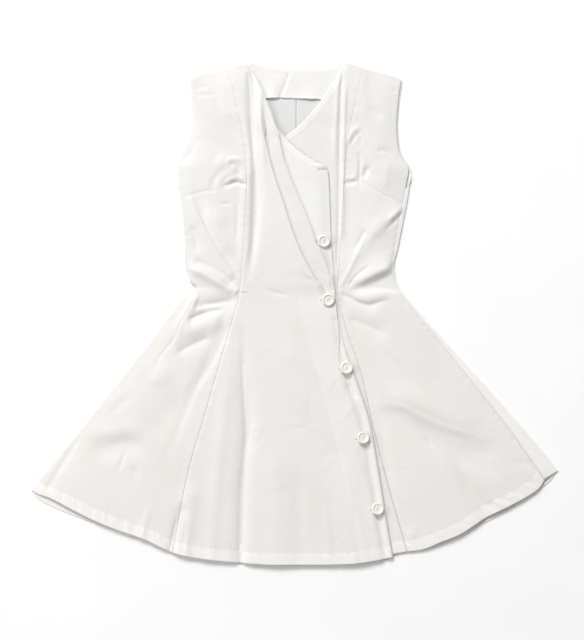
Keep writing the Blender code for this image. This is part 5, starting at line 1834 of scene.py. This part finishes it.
@dataclass(frozen=True)
class Studio:
    """A pale floor, soft light from the neck's side and a camera straight above.

    The places of the lights are in metres.
    """

    centre: Point = Point(-4.6, -10.5)
    distance: float = 3.2
    seen_height: float = 1.184
    floor_side: float = 9.0
    floor_gap: float = 0.6
    key: tuple[float, float, float] = (-2.30, 5.95, 6.45)
    side: tuple[float, float, float] = (-4.50, 0.30, 3.60)
    sky: float = 0.37

    def floor(self) -> bpy.types.Object:
        """Lay the floor just under the dress."""
        shape = bmesh.new()
        bmesh.ops.create_grid(shape, x_segments=4, y_segments=4, size=self.floor_side / 2)
        bmesh.ops.translate(shape, verts=shape.verts, vec=DOWN * self.floor_gap * MM)
        body = new_object("floor", shape, PaleFloor("pale_floor").build())
        return body

    def light(self, name: str, place: tuple[float, float, float], size: float, power: float) -> None:
        """Hang one soft square light that faces the dress."""
        data = bpy.data.lights.new(name, "AREA")
        data.size = size
        data.energy = power
        lamp = bpy.data.objects.new(name, data)
        lamp.location = place
        lamp.rotation_euler = (-Vector(place)).to_track_quat("-Z", "Y").to_euler()
        bpy.context.collection.objects.link(lamp)

    def camera(self) -> None:
        """Set the camera above the middle of the frame."""
        data = bpy.data.cameras.new("overhead")
        data.sensor_fit = "VERTICAL"
        data.sensor_height = 36.0
        data.lens = data.sensor_height * self.distance / self.seen_height
        data.clip_end = 20.0
        eye = bpy.data.objects.new("overhead", data)
        eye.location = (self.centre.across * MM, self.centre.along * MM, self.distance)
        bpy.context.collection.objects.link(eye)
        bpy.context.scene.camera = eye

    def build(self) -> None:
        """Set up floor, lights, sky and camera."""
        self.floor()
        self.light("key", self.key, size=3.3, power=640.0)
        self.light("side", self.side, size=2.0, power=74.0)
        world = bpy.data.worlds.new("soft_room")
        world.use_nodes = True
        sky = world.node_tree.nodes["Background"]
        sky.inputs["Color"].default_value = (1.0, 1.0, 1.0, 1.0)
        sky.inputs["Strength"].default_value = self.sky
        bpy.context.scene.world = world
        bpy.context.scene.view_settings.view_transform = "Standard"
        self.camera()


# ---------------------------------------------------------------- the dress

BUTTONS = (
    Button("button_1", 54.5, 135.0, 0.00, -0.05, 1.5),
    Button("button_2", 62.5, 27.0, 0.05, -0.04, 0.6, 1.6),
    Button("button_3", 95.5, -99.0, 0.06, 0.20, 1.2),
    Button("button_4", 126.5, -227.5, 0.06, 0.22, 1.1),
    Button("button_5", 153.0, -358.5, 0.04, 0.22, 1.1),
)
BUTTONHOLES = (
    Buttonhole(50.0, 268.0, 0.02, 15.0, 3.2),
    Buttonhole(54.0, 135.0),
    Buttonhole(62.0, 27.0),
    Buttonhole(95.0, -99.0, 0.12),
    Buttonhole(126.0, -227.5, 0.14),
    Buttonhole(152.5, -358.5, 0.14),
)
NECK_STITCH_DEPTH = 12.6


def inside_line(plan: np.ndarray, edge: Edge, depth: float, rows: range) -> np.ndarray:
    """Plan points at a depth inside a long edge.

    Args:
        plan: The piece seen from above.
        edge: The edge.
        depth: Distance from the edge in millimetres.
        rows: The rows that the line runs through.

    Returns:
        One (across, along) row per row of the piece.
    """
    distance, _ = from_edge(plan, edge)
    order = slice(None, None, -1) if edge is Edge.RIGHT else slice(None)
    points = []
    for row in rows:
        away, line = distance[row, order][:40], plan[row, order][:40]
        points.append((np.interp(depth, away, line[:, 0]), np.interp(depth, away, line[:, 1])))
    return np.array(points)


def main() -> None:
    """Build the dress and the room, and report each piece."""
    SharedGroups().build()
    front = WovenCotton("cotton_front").build()
    lining = WovenCotton("cotton_facing", rumple=0.2).build()
    # The back's single colour is darker than the front's: painted shade for the back seen deep in the
    # neckline.
    back = WovenCotton("cotton_back", single=(0.765, 0.760, 0.752)).build()
    thread = SewingThread("sewing_thread").build()
    # Dark finish of the buttonhole slits: painted shade in the openings.
    slit = SewingThread("slit_shadow", colour=(0.30, 0.28, 0.25), shadow=(0.16, 0.15, 0.14)).build()
    plastic = PolishedPlastic("button_plastic").build()

    both = ("back_left", "back_right")
    BackHalf("back_left", Slot.BACK, back, (0.520, 0.930), 0.260, ("floor",)).build()
    BackHalf("back_right", Slot.BACK, back, (0.520, 0.930), 0.260, ("floor",), side=Edge.RIGHT).build()
    NeckFacing("back_neck_facing", Slot.FACING, lining, (0.235, 0.068), 0.0112, both).build()
    left, left_hem = SideFront("side_front_left", Slot.FRONT, front, (0.40, 0.90), 0.130,
                               ("back_left",)).build()
    right, right_hem = SideFront("side_front_right", Slot.FRONT, front, (0.38, 0.90), 0.136, ("back_right",),
                                 side=Edge.RIGHT).build()
    under = UnderFront("front_under", Slot.FRONT, front, (0.36, 0.92), 0.176, both).build()
    over, over_hem, over_plan = OverFront("front_over", Slot.FRONT, front, (0.43, 0.93), 0.223,
                                          ("front_under", "back_left"), buttons=BUTTONS).build()
    top = TopCloth((left, right, under, over))

    hem = Sewing("hem_stitching", Slot.FRONT, thread)
    for line in (left_hem, over_hem, right_hem):
        hem.along(top, line[2:-2])
    hem.finished()
    edges = Sewing("neckline_stitching", Slot.FRONT, thread)
    neck_rows = range(3, OverFront.rows[0] - 3)
    edges.along(top, inside_line(over_plan, Edge.RIGHT, NECK_STITCH_DEPTH, neck_rows))
    edges.finished()
    holes = Sewing("buttonhole_stitching", Slot.FRONT, thread)
    slits = Sewing("buttonhole_slit_shadows", Slot.FRONT, slit)
    for hole in BUTTONHOLES:
        hole.sew(holes, slits, top)
    ThreadLoop().sew(holes, top)
    holes.finished()
    slits.finished()
    button_thread = Sewing("button_thread", Slot.BUTTON, thread)
    for button in BUTTONS:
        button.build(plastic)
        button.sew_on(button_thread)
    button_thread.finished()
    Studio().build()


if __name__ == "__main__":
    main()
